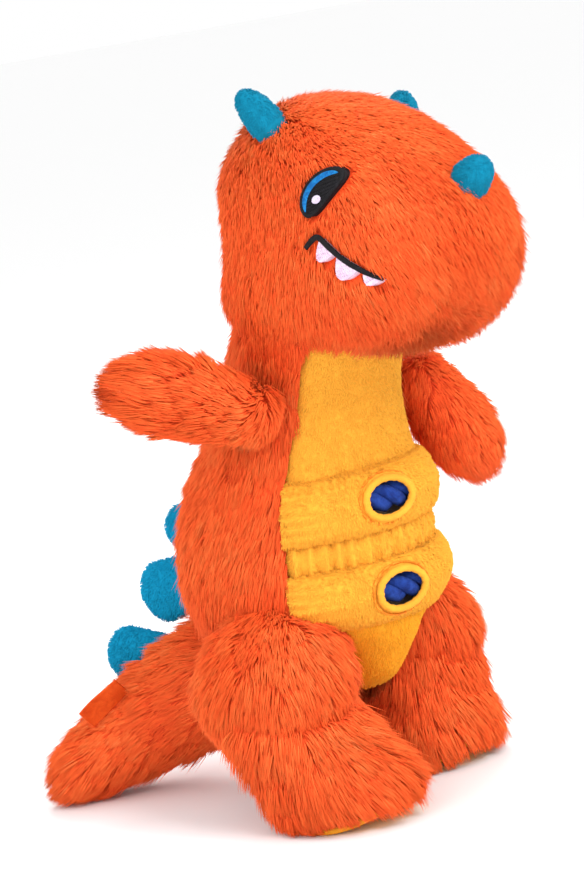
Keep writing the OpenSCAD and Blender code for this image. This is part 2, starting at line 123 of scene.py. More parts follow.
def grid_faces(rows, cols, wrap=False):
    """Quads of a grid of points, rows by cols, whose columns may close into a ring."""
    i, j = np.meshgrid(np.arange(rows - 1), np.arange(cols if wrap else cols - 1), indexing="ij")
    k = (j + 1) % cols
    quads = np.stack([i * cols + j, i * cols + k, (i + 1) * cols + k, (i + 1) * cols + j], -1)
    return quads.reshape(-1, 4)


def vertex_normals(points, faces):
    """Unit normals at the points, from the quads or triangles round each."""
    faces = np.asarray(faces)
    across = points[faces[:, 2]] - points[faces[:, 0]]
    other = points[faces[:, -1]] - points[faces[:, 1]]
    face_normals = np.cross(across, other)
    normals = np.zeros_like(points)
    for k in range(faces.shape[1]):
        np.add.at(normals, faces[:, k], face_normals)
    return unit(normals)


def new_piece(name, points, face_lists, materials, shades=None, smooth=True):
    """A mesh object from points in the toy's frame, in mm, and arrays of faces of equal length each."""
    mesh = bpy.data.meshes.new(name)
    loops = np.concatenate([np.asarray(f).ravel() for f in face_lists]).astype(np.int32)
    sizes = np.concatenate([np.full(len(f), np.asarray(f).shape[1]) for f in face_lists]).astype(np.int32)
    mesh.vertices.add(len(points))
    mesh.vertices.foreach_set("co", place(points).astype(np.float32).ravel())
    mesh.loops.add(len(loops))
    mesh.loops.foreach_set("vertex_index", loops)
    mesh.polygons.add(len(sizes))
    mesh.polygons.foreach_set("loop_start", np.concatenate([[0], np.cumsum(sizes)[:-1]]).astype(np.int32))
    mesh.polygons.foreach_set("use_smooth", np.full(len(sizes), smooth))
    for m in materials:
        mesh.materials.append(m)
    if shades is not None:
        mesh.polygons.foreach_set("material_index", np.asarray(shades, np.int32))
    mesh.update(calc_edges=True)
    piece = bpy.data.objects.new(name, mesh)
    bpy.context.scene.collection.objects.link(piece)
    return piece


def grid_piece(name, grid, material, wrap=False, thick=0.0):
    """A sheet from a grid of points, facing out, thickened inward by thick mm."""
    rows, cols = grid.shape[:2]
    points = grid.reshape(-1, 3)
    piece = new_piece(name, points, [grid_faces(rows, cols, wrap)], [material])
    if thick:
        wall = piece.modifiers.new("wall", "SOLIDIFY")
        wall.thickness = thick * MM
        wall.offset = -1
        bake_modifiers(piece)
    return piece


def bake_modifiers(piece):
    """Applies a piece's modifiers to its mesh."""
    bpy.context.view_layer.update()
    graph = bpy.context.evaluated_depsgraph_get()
    mesh = bpy.data.meshes.new_from_object(piece.evaluated_get(graph))
    piece.modifiers.clear()
    piece.data = mesh
    return piece


def capped_loft(name, rings, material):
    """A closed solid through rings of points."""
    rings = np.asarray(rings, float)
    n, m = rings.shape[:2]
    ends = np.stack([rings[0].mean(0), rings[-1].mean(0)])
    points = np.concatenate([rings.reshape(-1, 3), ends])
    j = np.arange(m)
    first = np.stack([np.full(m, n * m), (j + 1) % m, j], 1)
    last = np.stack([np.full(m, n * m + 1), (n - 1) * m + j, (n - 1) * m + (j + 1) % m], 1)
    return new_piece(name, points, [grid_faces(n, m, True), first, last], [material])


def settle(piece, slot_name, body=None, node=None):
    """Hides the node that a piece stands for and gives the piece its body; slot_name is not used.
    The body is a name, which the piece is attached to, or a function that is called on the piece."""
    if node:
        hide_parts(node)
    if callable(body):
        body(piece)
    elif body:
        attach(piece, body)
    return piece


# ---------------------------------------------------------------- materials

def linear(*rgb):
    """Linear colour of an sRGB colour given from 0 to 255."""
    c = np.array(rgb) / 255
    return tuple(np.where(c <= 0.04045, c / 12.92, ((c + 0.055) / 1.055) ** 2.4)) + (1.0,)


def scaled(colour, k):
    return tuple(min(1.0, c * k) for c in colour[:3]) + (1.0,)


def set_inputs(node, values):
    for name, value in values.items():
        node.inputs[name].default_value = value


def new_material(name, colour, roughness, sheen, sheen_tint):
    material = bpy.data.materials.new(name)
    material.use_nodes = True
    set_inputs(material.node_tree.nodes["Principled BSDF"], {
        "Base Color": colour, "Roughness": roughness, "Specular IOR Level": 0.2, "Sheen Weight": sheen,
        "Sheen Roughness": 0.4, "Sheen Tint": sheen_tint})
    return material


def fabric(name, colour, light, dark, blotch, grain, bump, roughness=0.9, sheen=0.4, weave=0.0):
    """Cloth whose nap lies in light and dark blotches, with a fine grain that also gives its bump.
    blotch and grain are sizes in mm; weave above 0 adds a ribbed weave of that pitch in mm."""
    material = new_material(name, colour, roughness, sheen, light)
    nodes, links = material.node_tree.nodes, material.node_tree.links
    shader = nodes["Principled BSDF"]

    def add(kind, **values):
        node = nodes.new(f"ShaderNode{kind}")
        set_inputs(node, values)
        return node

    coords = add("TexCoord").outputs["Object"]
    patches = add("TexNoise", Scale=1 / (blotch * MM), Detail=4, Distortion=0.8)
    links.new(coords, patches.inputs["Vector"])
    ramp = add("ValToRGB")
    ends = ramp.color_ramp.elements
    ends[0].position, ends[0].color = 0.34, dark
    ends[1].position, ends[1].color = 0.68, light
    ends.new(0.5).color = colour
    links.new(patches.outputs["Fac"], ramp.inputs["Fac"])
    fine = add("TexNoise", Scale=1 / (grain * MM), Detail=3)
    links.new(coords, fine.inputs["Vector"])
    speck = add("Mix")
    speck.data_type = "RGBA"
    speck.blend_type = "MULTIPLY"
    speck.inputs["Factor"].default_value = 0.25
    links.new(ramp.outputs["Color"], speck.inputs["A"])
    links.new(fine.outputs["Fac"], speck.inputs["B"])
    links.new(speck.outputs["Result"], shader.inputs["Base Color"])
    height = fine
    if weave:
        height = add("TexWave", Scale=1 / (weave * MM) / 3.2, Distortion=0.4)
        links.new(coords, height.inputs["Vector"])
    relief = add("Bump", Strength=bump, Distance=grain * MM * 0.6)
    links.new(height.outputs["Fac"], relief.inputs["Height"])
    links.new(relief.outputs["Normal"], shader.inputs["Normal"])
    return material


VELOUR_YELLOW, VELOUR_AMBER = (255, 177, 56), (255, 170, 38)
# The horns' cyan is the plates' velour cyan darkened as painted shade, since the horns face the key light.
VELOUR_CYAN, SHADED_HORN_CYAN = (0, 152, 197), (0, 130, 164)
# Fur: the pile's strands come in shades from deep to bright, darker at their roots as painted shade down in
# the pile
FUR_SHADES = [
    linear(224, 62, 20), linear(240, 76, 27), linear(250, 88, 34),
    linear(255, 99, 41), linear(255, 111, 50), linear(255, 127, 66)]
fur_materials = [
    new_material(f"fur_shade_{i}", c, 0.7, 0.2, linear(255, 150, 80)) for i, c in enumerate(FUR_SHADES)]


def nap_shades(name, colour):
    """Five plain shades of a velour colour, for the short strands of its pile."""
    return [new_material(f"{name}_nap_{i}", scaled(linear(*colour), k), 0.8, 0.15, linear(*colour))
            for i, k in enumerate((0.88, 0.95, 1.0, 1.07, 1.15))]


nap_yellow = nap_shades("yellow", VELOUR_YELLOW)
nap_amber = nap_shades("amber", VELOUR_AMBER)
nap_cyan = nap_shades("cyan", VELOUR_CYAN)
# The horns' nap shades are darkened with the horns' cyan, as painted shade.
shaded_horn_nap = nap_shades("horn", SHADED_HORN_CYAN)


def velour(name, colour, blotch, grain, sheen):
    """A velour's backing: its colour, a little lighter and darker in blotches."""
    base = linear(*colour)
    return fabric(name, base, scaled(base, 1.08), scaled(base, 0.9), blotch, grain, 0.9, sheen=sheen)


velour_yellow = velour("velour_yellow", VELOUR_YELLOW, 11, 0.5, 0.25)
velour_amber = velour("velour_amber", VELOUR_AMBER, 11, 0.5, 0.15)
velour_cyan = velour("velour_cyan", VELOUR_CYAN, 9, 0.45, 0.1)
# The horns' velour is darkened with the horns' cyan, as painted shade.
shaded_horn_velour = velour("shaded_horn_velour", SHADED_HORN_CYAN, 9, 0.45, 0.1)

# Each other cloth: its colour, its light and dark blotches, and fabric()'s other values in their order
CLOTHS = {
    "coat_backing": ((244, 80, 30), (250, 92, 38), (232, 68, 24), 9, 0.6, 0.4),
    "fleece_navy": ((28, 58, 138), (36, 70, 156), (20, 44, 116), 3, 0.4, 0.9, 0.9, 0.12),
    # The amber seam thread is darker than the velour partly as painted shade in the groove of the seams round
    # the windows.
    "thread_amber": ((240, 140, 30), (250, 160, 50), (222, 118, 20), 2, 0.25, 0.5, 0.6, 0.2),
    "thread_black": ((20, 18, 22), (28, 26, 31), (13, 12, 15), 1.5, 0.2, 0.4, 0.6, 0.0),
    "thread_blue": ((0, 106, 176), (20, 132, 200), (0, 84, 152), 1.5, 0.2, 0.4, 0.5, 0.2),
    "thread_white": ((230, 216, 240), (242, 232, 248), (214, 198, 228), 1.5, 0.2, 0.4, 0.5, 0.2),
    "thread_lavender": ((240, 214, 236), (250, 232, 246), (222, 192, 220), 1.5, 0.2, 0.5, 0.55, 0.2),
    "woven_orange": ((244, 92, 24), (250, 102, 32), (232, 80, 18), 4, 0.3, 0.6, 0.6, 0.05, 0.5),
    "fibre": ((240, 240, 236), (250, 250, 248), (220, 220, 214), 6, 0.8, 0.8)}
cloth = {name: fabric(name, *(linear(*c) for c in row[:3]), *row[3:]) for name, row in CLOTHS.items()}


# ---------------------------------------------------------------- camera, lights, floor

CAMERA_TURN, CAMERA_RISE, CAMERA_ROLL = math.radians(-45), math.radians(14), math.radians(10)
CAMERA_FAR = 1400
LENS = 135.5
AIM_RIGHT, AIM_UP = -0.0156, 0.1005      # slopes from the toy's origin to the middle of the view
FLOOR_HALF = 15.0


def make_camera():
    out = np.array([math.sin(CAMERA_TURN) * math.cos(CAMERA_RISE),
                    -math.cos(CAMERA_TURN) * math.cos(CAMERA_RISE), math.sin(CAMERA_RISE)])
    level = unit(np.cross(-out, [0, 0, 1]))
    upright = np.cross(level, -out)
    right = math.cos(CAMERA_ROLL) * level - math.sin(CAMERA_ROLL) * upright
    up = math.sin(CAMERA_ROLL) * level + math.cos(CAMERA_ROLL) * upright
    look = unit(-out + AIM_RIGHT * right + AIM_UP * up)
    right = unit(right - (right @ look) * look)
    up = np.cross(right, look)
    data = bpy.data.cameras.new("camera")
    data.lens = LENS
    data.clip_end = 20
    camera = bpy.data.objects.new("camera", data)
    turn = Matrix((right, up, -look)).transposed().to_4x4()
    camera.matrix_world = Matrix.Translation(Vector(place(out * CAMERA_FAR))) @ turn
    bpy.context.scene.collection.objects.link(camera)
    bpy.context.scene.camera = camera


def add_light(name, where, size, power):
    data = bpy.data.lights.new(name, "AREA")
    data.size = size
    data.energy = power
    light = bpy.data.objects.new(name, data)
    light.location = where
    aim = Vector((0, 0, 0.13)) - Vector(where)
    light.rotation_euler = aim.to_track_quat("-Z", "Y").to_euler()
    bpy.context.scene.collection.objects.link(light)


def make_studio():
    add_light("key", (-0.15, -1.5, 1.25), 0.9, 21)
    add_light("fill", (-1.5, -0.5, 0.7), 1.2, 8)
    add_light("rim", (1.1, 1.1, 1.2), 1.0, 14)
    world = bpy.data.worlds.new("studio")
    world.use_nodes = True
    set_inputs(world.node_tree.nodes["Background"], {"Color": (1, 1, 1, 1), "Strength": 1.0})
    bpy.context.scene.world = world
    bpy.context.scene.view_settings.view_transform = "Standard"
    mesh = bpy.data.meshes.new("floor")
    corners = [(-1, -1), (1, -1), (1, 1), (-1, 1)]
    mesh.from_pydata([(x * FLOOR_HALF, y * FLOOR_HALF, 0) for x, y in corners], [], [(0, 1, 2, 3)])
    floor = bpy.data.objects.new("floor", mesh)
    pale = bpy.data.materials.new("pale_floor")
    pale.use_nodes = True
    shader = pale.node_tree.nodes["Principled BSDF"]
    set_inputs(shader, {"Base Color": (0.97, 0.97, 0.97, 1), "Roughness": 0.8})
    mesh.materials.append(pale)
    bpy.context.scene.collection.objects.link(floor)


make_camera()
make_studio()


# ---------------------------------------------------------------- fur

MAX_STRANDS = 21500         # strands in one piece, which keeps it under 200,000 triangles
STRAND_QUADS = np.array([[3, 4, 1, 0], [4, 5, 2, 1], [5, 3, 0, 2]])
STRAND_TIPS = np.array([[6, 4, 3], [6, 5, 4], [6, 3, 5]])
FLOOR_GAP = 0.5


class Skin:
    """A surface that fur grows from: points, faces and outward normals."""

    def __init__(self, points, faces):
        self.points, self.faces = points, np.asarray(faces)
        self.normals = vertex_normals(points, self.faces)

    @staticmethod
    def of_grid(grid, wrap=False):
        return Skin(grid.reshape(-1, 3), grid_faces(*grid.shape[:2], wrap))

    def scatter(self, per_mm2, rng):
        """Random points on the surface, evenly by area, and their normals."""
        f = self.faces
        triangles = np.concatenate([f[:, [0, 1, 2]], f[:, [0, 2, 3]]]) if f.shape[1] == 4 else f
        a, b, c = (self.points[triangles[:, k]] for k in range(3))
        areas = np.linalg.norm(np.cross(b - a, c - a), axis=1) / 2
        count = int(areas.sum() * per_mm2)
        chosen = np.searchsorted(np.cumsum(areas) / areas.sum(), rng.random(count))
        chosen = np.minimum(chosen, len(triangles) - 1)
        u, v = rng.random((2, count))
        over = u + v > 1
        u, v = np.where(over, 1 - u, u)[:, None], np.where(over, 1 - v, v)[:, None]
        roots = a[chosen] * (1 - u - v) + b[chosen] * u + c[chosen] * v
        n = self.normals
        t = triangles[chosen]
        return roots, unit(n[t[:, 0]] * (1 - u - v) + n[t[:, 1]] * u + n[t[:, 2]] * v)


def nearest(points, centres):
    tree = kdtree.KDTree(len(centres))
    for i, c in enumerate(centres):
        tree.insert(c, i)
    tree.balance()
    return np.array([tree.find(p)[1] for p in points])


def grow(name, skin, length, flow, per_mm2=2.6, lift=38, droop=24, width=0.72, tuft=4.2, gather=0.45,
         fall_in=None, seed=1, body=None, shades=fur_materials, slot_name="fur_orange"):
    """Fur strands on a skin. length(points) is in mm, flow(points) is the way the pile lies, lift is the
    strands' angle to the skin at the root, less droop at the tip, and gather draws tips into tufts.
    fall_in(roots, tips) tells which strands to leave out."""
    rng = np.random.default_rng(seed)
    roots, normals = skin.scatter(per_mm2, rng)
    count = len(roots)
    swirl = np.stack([wobble(roots, 34, seed + k) for k in (1, 2, 3)], 1)
    ahead = unit(flow(roots))
    facing = np.clip((np.sum(ahead * normals, 1) - 0.55) / 0.45, 0, 1)
    way = ahead + swirl * 0.2 + rng.normal(scale=0.12, size=(count, 3))
    way = unit(way - np.sum(way * normals, 1, keepdims=True) * normals)
    centre_index = rng.choice(count, max(8, int(count / (per_mm2 * tuft * tuft))), replace=False)
    tuft_of = nearest(roots, roots[centre_index])
    tuft_length = rng.uniform(0.8, 1.2, len(centre_index))[tuft_of]
    long = length(roots) * tuft_length * rng.uniform(0.75, 1.15, count)
    angle = np.radians(lift + facing * 38 + rng.normal(scale=8, size=count))[:, None]
    bent = angle - math.radians(droop)
    first = normals * np.sin(angle) + way * np.cos(angle)
    then = normals * np.sin(bent) + way * np.cos(bent)
    middles = roots + first * (long * 0.48)[:, None]
    tips = middles + then * (long * 0.55)[:, None]
    heart = centre_index[tuft_of]
    draw = gather * rng.uniform(0.5, 1.1, count)[:, None]
    tips += (tips[heart] + (tips - tips[heart]) * 0.15 - tips) * draw
    middles += (middles[heart] - middles) * draw * 0.35
    if fall_in is not None:
        keep = ~fall_in(roots, tips)
        roots, normals, middles, tips, tuft_of, way = (
            x[keep] for x in (roots, normals, middles, tips, tuft_of, way))
        count = len(roots)
    across = unit(np.cross(tips - roots, normals))
    outward = unit(np.cross(across, tips - roots))
    half = (width / 2 * rng.uniform(0.75, 1.2, count))[:, None]
    rings = []
    for middle, size in ((roots - normals * 0.3, 1.0), (middles, 0.8)):
        for turn in (90, 210, 330):
            c, s = math.cos(math.radians(turn)), math.sin(math.radians(turn))
            rings.append(middle + (across * c + outward * s * 0.7) * half * size)
    points = np.stack([*rings, tips], 1)
    points[..., 2] = np.maximum(points[..., 2], FLOOR_GAP)
    patch = wobble(roots, 22, seed + 5)
    top = len(shades) - 1
    shade = top * 0.48 + patch * 0.5 + rng.normal(scale=0.45, size=count) + rng.normal(
        scale=0.3, size=len(centre_index))[tuft_of]
    order = rng.permutation(count)
    parts = max(1, math.ceil(count / MAX_STRANDS))
    for k in range(parts):
        mine = order[k::parts]
        n = len(mine)
        base = (np.arange(n) * 7)[:, None, None]
        quads = (base + STRAND_QUADS).reshape(-1, 4)
        ends = (base + STRAND_TIPS).reshape(-1, 3)
        # Each strand's root half takes a darker shade than its tip: painted shade down in the pile.
        low = np.clip(np.round(shade[mine] - 0.8), 0, top).astype(int)
        high = np.clip(np.round(shade[mine] + 0.6), 0, top).astype(int)
        piece = new_piece(name if parts == 1 else f"{name}_{k + 1}", points[mine].reshape(-1, 3),
                          [quads, ends], shades, np.concatenate([np.repeat(low, 3), np.repeat(high, 3)]))
        soft = unit(np.repeat(normals[mine], 7, 0) * 1.0 + own_normals(points[mine]) * 0.45)
        piece.data.normals_split_custom_set_from_vertices(soft.tolist())
        settle(piece, slot_name, body)


def own_normals(strands):
    """Normals of the strands' points: away from the middle of their ring, and ahead at the tip."""
    root, middle = strands[:, :3].mean(1, keepdims=True), strands[:, 3:6].mean(1, keepdims=True)
    return np.concatenate([unit(strands[:, :3] - root), unit(strands[:, 3:6] - middle),
                           unit(strands[:, 6:] - middle)], 1).reshape(-1, 3)




def downward(p):
    return np.tile([0.0, 0.25, -1.0], (len(p), 1))


def grow_nap(name, skin, shades, slot_name, seed, body, long=1.3, fall_in=None):
    """The short, dense pile of velour."""
    grow(name, skin, lambda p: np.full(len(p), long), downward, per_mm2=2.1, lift=50, droop=12, width=0.62,
         tuft=2.6, gather=0.25, seed=seed, body=body, shades=shades, slot_name=slot_name, fall_in=fall_in)


# ---------------------------------------------------------------- torso and neck

BELLY_SEAM = 57
KEEL, KEEL_POWER = 1.14, 1.12
# Each station of the body: height, middle of the depth, half width, half depth; the last ones are the neck
BODY = [
    (42, -14, 8, 10), (48, -12, 13, 25), (58, -9, 19, 36), (69, -6, 31, 45), (82, -4, 47, 49),
    (102, -4, 50, 50), (124, -7, 47, 47), (144, -12, 41, 41), (160, -18, 36, 37), (172, -23, 35, 35),
    (184, -29, 36, 34), (196, -36, 38, 33), (208, -42, 38, 32)]
SKIN_DEPTH = -2.2           # the coat's backing lies this far inside the outer size
COAT_WALL = 1.0
COAT_LOW, COAT_TOP, NECK_TOP = 43.0, 168.0, 207.0

body_t_table = np.linspace(0, 1, 2000)
body_z_table = curve(BODY, body_t_table)[:, 0]


def body_t(z):
    return np.interp(z, body_z_table, body_t_table)


def body_point(z, a, d=0.0):
    """Point on the torso or neck: height z, angle a round from straight ahead, d outward."""
    z, a, d = np.broadcast_arrays(np.asarray(z, float), np.asarray(a, float), np.asarray(d, float))
    s = curve(BODY, body_t(z))
    sa, ca = np.sin(np.radians(a)), np.cos(np.radians(a))
    power = np.where(ca < 0, KEEL_POWER, 1.0)
    x = (s[..., 2] + d) * power_sign(sa, power)
    y = (s[..., 3] * np.where(ca < 0, KEEL, 1.0) + d) * power_sign(ca, power)
    return np.stack([x, s[..., 1] - y, s[..., 0]], -1)


def body_grid(z0, z1, a0, a1, rows, cols, depth=0.0):
    z = np.linspace(z0, z1, rows)[:, None]
    a = np.linspace(a0, a1, cols)[None, :]
    return body_point(z, a, depth)


def lumpy(grid, amount, size, seed):
    """Pushes a grid in and out along its normals by smooth noise, as stuffing does."""
    rows, cols = grid.shape[:2]
    points = grid.reshape(-1, 3)
    normals = vertex_normals(points, grid_faces(rows, cols))
    return (points + normals * (wobble(points, size, seed) * amount)[:, None]).reshape(grid.shape)


def outward_grid(grid, centre):
    """The same grid with its rows in the order that makes its normals point away from centre."""
    rows, cols = grid.shape[:2]
    points = grid.reshape(-1, 3)
    normals = vertex_normals(points, grid_faces(rows, cols))
    out = np.sum(normals * (points - np.asarray(centre, float)), 1).sum()
    return grid if out > 0 else grid[::-1]


def bend_neck(piece):
    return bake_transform(piece)


def coat(name, grid, body, node=None, wrap=True):
    """The padded backing that fur grows on."""
    settle(grid_piece(name, grid, cloth["coat_backing"], wrap, COAT_WALL), "fur_orange", body, node)


def torso_flow(p):
    """The pile lies down the body, and a little backward."""
    way = np.zeros_like(p)
    way[:, 0] = p[:, 0] * 0.004
    way[:, 1] = 0.12
    way[:, 2] = -1
    return way


def make_torso():
    for side in (RIGHT, LEFT):
        word = SIDE_NAME[side]
        a0, a1 = side * BELLY_SEAM, side * 180
        grid = outward_grid(body_grid(COAT_LOW, COAT_TOP, a0, a1, 70, 60, SKIN_DEPTH), (0, 0, 100))
        grid = lumpy(grid, 0.6, 16, 3)
        coat(f"torso_coat_{word}", grid, "torso", f"torso_fur_{word}", wrap=False)
        grow(f"torso_pile_{word}", Skin.of_grid(grid), torso_length, torso_flow,
             fall_in=behind_others(side), seed=11 + side, body="torso")
        neck = outward_grid(body_grid(COAT_TOP, NECK_TOP, a0, a1, 26, 50, SKIN_DEPTH), (0, -30, 185))
        neck = lumpy(neck, 0.6, 16, 3)
        coat(f"neck_coat_{word}", neck, bend_neck, wrap=False)
        grow(f"neck_pile_{word}", Skin.of_grid(neck), torso_length, torso_flow,
             seed=21 + side, body=bend_neck)


def inside_body(p, d=0.0):
    """Which points lie inside the body's surface moved outward by d."""
    s = curve(BODY, body_t(p[:, 2]))
    y = s[:, 1] - p[:, 1]
    deep = s[:, 3] * np.where(y < 0, KEEL, 1.0) + d
    within = (p[:, 0] / (s[:, 2] + d)) ** 2 + (y / deep) ** 2 < 1
    return within & (p[:, 2] > BODY[0][0]) & (p[:, 2] < BODY[-1][0])


def behind_others(side):
    """Tells which of the body's strands are buried in the haunch or the arm's root."""
    def fall_in(roots, tips):
        arm = np.linalg.norm(roots - ARM_PIVOT[side], axis=1) < ARM_R - 7
        return inside_haunch(side, roots, 0.85) | arm

    return fall_in


def torso_length(p):
    """Shorter up the neck, longer where the coat runs into the legs, the tail and the arms."""
    near_arm = np.minimum(*(np.linalg.norm(p - ARM_PIVOT[side], axis=1) for side in (RIGHT, LEFT)))
    by_height = np.interp(p[:, 2], [45, 75, 120, 170, 205], [11, 12, 10, 9.5, 9])
    return by_height + np.clip((26 - near_arm) / 3, 0, 4)


# ---------------------------------------------------------------- belly

UPPER_Z, LOWER_Z, BAND_HEIGHT, BAND_PUFF = 123, 86, 25, 8
WINDOW_TURN, WINDOW_WIDTH, WINDOW_HEIGHT = -8, 23, 15
VELOUR_WALL = 1.6
CHEST_TOP = 193.0


def belly_sheet(name, node, z0, z1, material, depth, rows, cols, slot_name="velour_yellow"):
    """A velour panel between the belly seams. depth(v, u, points) is how far it stands out, with v up the
    panel and u across it, both from 0 to 1."""
    v = np.linspace(0, 1, rows)[:, None] * np.ones((1, cols))
    u = np.linspace(0, 1, cols)[None, :] * np.ones((rows, 1))
    z = z0 + (z1 - z0) * v
    a = -BELLY_SEAM - 1 + 2 * (BELLY_SEAM + 1) * u
    flat = body_point(z, a)
    grid = body_point(z, a, depth(v, u, flat))
    grid = outward_grid(grid, (0, 0, (z0 + z1) / 2))
    piece = grid_piece(name, grid, material, thick=VELOUR_WALL)
    return settle(piece, slot_name, None, node), grid


def edge_tuck(u, width=0.03, depth=2.2):
    """The panel's side edges turn in under the fur at the belly seams."""
    near = np.minimum(u, 1 - u)
    return -depth * np.exp(-((near / width) ** 2))


def make_chest():
    def depth(v, u, p):
        soft = wobble(p.reshape(-1, 3), 18, 41).reshape(u.shape) * 0.7
        pull = 0.35 * np.sin(p[..., 0] * 0.9 + p[..., 2] * 0.12) * np.exp(-((p[..., 2] - 137) / 7) ** 2)
        return 0.3 + soft + pull + edge_tuck(u)

    piece, grid = belly_sheet("chest_velour", "chest_panel", 133, CHEST_TOP, velour_yellow,
                              depth, 90, 100)
    bend_neck(piece)
    grow_nap("chest_nap", Skin.of_grid(grid), nap_yellow, "velour_yellow", 111, bend_neck)


def make_lower_belly():
    def depth(v, u, p):
        soft = wobble(p.reshape(-1, 3), 14, 42).reshape(u.shape) * 0.6
        folds = 0.5 * np.sin(p[..., 0] * 0.8) * np.exp(-((p[..., 2] - 72) / 6) ** 2)
        return 0.2 + soft + folds + edge_tuck(u)

    piece, grid = belly_sheet("lower_belly_velour", "lower_belly_panel", 43.5, 76, velour_amber,
                              depth, 50, 80, slot_name="velour_amber")
    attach(piece, "torso")
    grow_nap("lower_belly_nap", Skin.of_grid(grid), nap_amber, "velour_amber", 112, "torso")


def make_gathered_strip():
    rng = np.random.default_rng(7)
    shifts = rng.uniform(0, 6.28, 4)

    def depth(v, u, p):
        along = u * 2 * math.pi
        folds = 1.0 * np.sin(along * 15 + 1.6 * np.sin(along * 2 + shifts[0]) + shifts[1])
        folds = folds + 0.35 * np.sin(along * 27 + 2.0 * np.sin(along * 3 + shifts[2]) + shifts[3])
        pinch = 0.45 + 0.55 * np.abs(np.cos(math.pi * v))
        ridge = 1.1 * np.sin(math.pi * v) ** 2
        return 0.2 + folds * pinch + ridge + edge_tuck(u)

    low, high = LOWER_Z + BAND_HEIGHT / 2 - 2.5, UPPER_Z - BAND_HEIGHT / 2 + 2.5
    piece, grid = belly_sheet("gathered_velour", "gathered_strip", low, high, velour_yellow,
                              depth, 36, 420)
    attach(piece, "torso")
    grow_nap("gathered_nap", Skin.of_grid(grid), nap_yellow, "velour_yellow", 113, "torso", long=1.2)


def band_depth(v, u, p, seed):
    """A stuffed band: full in the middle, drawn in at its long edges and gathered at its ends."""
    edge = np.minimum(v, 1 - v) * 2
    full = BAND_PUFF * np.clip(edge, 0, 1) ** 0.3
    ends = np.minimum(u, 1 - u)
    full = full * (0.6 + 0.4 * np.clip(ends / 0.07, 0, 1) ** 0.5)
    crease = np.exp(-((ends / 0.14) ** 2))
    puckers = 0.45 * np.sin(p[..., 2] * 1.5 + 3 * ends) * crease
    edge_puckers = 0.55 * np.sin(u * 190 + 2.5 * np.sin(u * 23)) * np.exp(-((edge / 0.28) ** 2))
    soft = wobble(p.reshape(-1, 3), 13, seed).reshape(u.shape) * 0.7
    return full - 0.4 + (puckers + edge_puckers + soft) * np.clip(edge * 3, 0, 1)


def window_frame(z):
    """Middle of a window, and the ways across, up and out of it."""
    p = body_point(z, WINDOW_TURN, BAND_PUFF)
    a = math.radians(WINDOW_TURN)
    out = np.array([math.sin(a), -math.cos(a), 0.0])
    across = np.array([math.cos(a), math.sin(a), 0.0])
    return p, across, np.array([0.0, 0.0, 1.0]), out


def window_oval(z, grow_by, out_by, n=72):
    p, across, up, out = window_frame(z)
    t = circle(n)[:, None]
    return (p + across * (WINDOW_WIDTH / 2 + grow_by) * np.cos(t)
            + up * (WINDOW_HEIGHT / 2 + grow_by) * np.sin(t) + out * out_by)


def band_surface(z_middle, points):
    """How far out along the window's axis the band's surface is at points near the window."""
    p, across, _, out = window_frame(z_middle)
    x = (points - p) @ across
    z = points[:, 2]
    v = np.clip((z - (z_middle - BAND_HEIGHT / 2)) / BAND_HEIGHT, 0, 1)
    edge = np.minimum(v, 1 - v) * 2
    full = BAND_PUFF * np.clip(edge, 0, 1) ** 0.3
    turn = WINDOW_TURN + np.degrees(x / 55)
    near = body_point(z, turn, full)
    return (near - p) @ out


def ring_tube(name, centre_line, radius, ways, material):
    """A closed tube along a loop of points. ways gives two directions that span each cross-section."""
    sides, loops = 14, len(centre_line)
    out, up = ways
    r = radius[:, None]
    rings = []
    for k in range(sides):
        t = 2 * math.pi * k / sides
        rings.append(centre_line + out * (r * math.cos(t)) + up * (r * math.sin(t)))
    points = np.stack(rings, 1).reshape(-1, 3)
    return new_piece(name, points, [grid_faces(loops + 1, sides, True) % len(points)], [material])


def make_band(word, z, seed):
    node = f"{word}_band"
    piece, grid = belly_sheet(f"{word}_band_velour", node, z - BAND_HEIGHT / 2, z + BAND_HEIGHT / 2,
                              velour_yellow, lambda v, u, p: band_depth(v, u, p, seed), 64, 220)
    n = 72
    near, far = window_oval(z, 0, -9, n), window_oval(z, 0, 7, n)
    cutter = capped_loft(f"{word}_window_cutter", [near, far], velour_yellow)
    cut = piece.modifiers.new("window", "BOOLEAN")
    cut.operation = "DIFFERENCE"
    cut.solver = "EXACT"
    cut.object = cutter
    bake_modifiers(piece)
    bpy.data.objects.remove(cutter)
    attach(piece, "torso")
    t = circle(n)
    _, across, up, out = window_frame(z)
    away = unit(across * np.cos(t)[:, None] * WINDOW_HEIGHT + up * np.sin(t)[:, None] * WINDOW_WIDTH)
    outs = np.tile(out, (n, 1))
    line = window_oval(z, 0.4, 0, n)
    line = line + out * (band_surface(z, line) + 0.2)[:, None]
    rim = ring_tube(f"{word}_window_piping", line, 1.5 + 0.12 * np.sin(t * 17) + 0.08 * np.sin(t * 29),
                    (outs, away), velour_yellow)
    settle(rim, "thread_amber", "torso", f"{word}_window_rim")
    # A stitched seam runs round each window in a groove; its thread's darker amber is partly the seam and
    # partly painted shade in the groove.
    groove = window_oval(z, 2.9, 0, n)
    groove = groove + out * (band_surface(z, groove) - 0.15)[:, None]

    def near_window(roots, tips):
        p, across, up, _ = window_frame(z)
        v = tips - p
        wide, high = WINDOW_WIDTH / 2 + 3.2, WINDOW_HEIGHT / 2 + 3.2
        return ((v @ across) / wide) ** 2 + ((v @ up) / high) ** 2 < 1

    grow_nap(f"{word}_band_nap", Skin.of_grid(grid), nap_yellow, "velour_yellow", seed + 70, "torso",
             long=1.4, fall_in=near_window)
    stitch = ring_tube(f"{word}_window_seam_and_shade", groove, 0.5 + 0.22 * np.sign(np.sin(t * 36)) * 0.5,
                       (outs, away), cloth["thread_amber"])
    settle(stitch, "thread_amber", "torso")


STRAND_R, STRAND_TWIST, STRAND_TURNS, STRAND_OUT, STRAND_REACH = 3.0, 3.0, 2.2, 0.6, 36


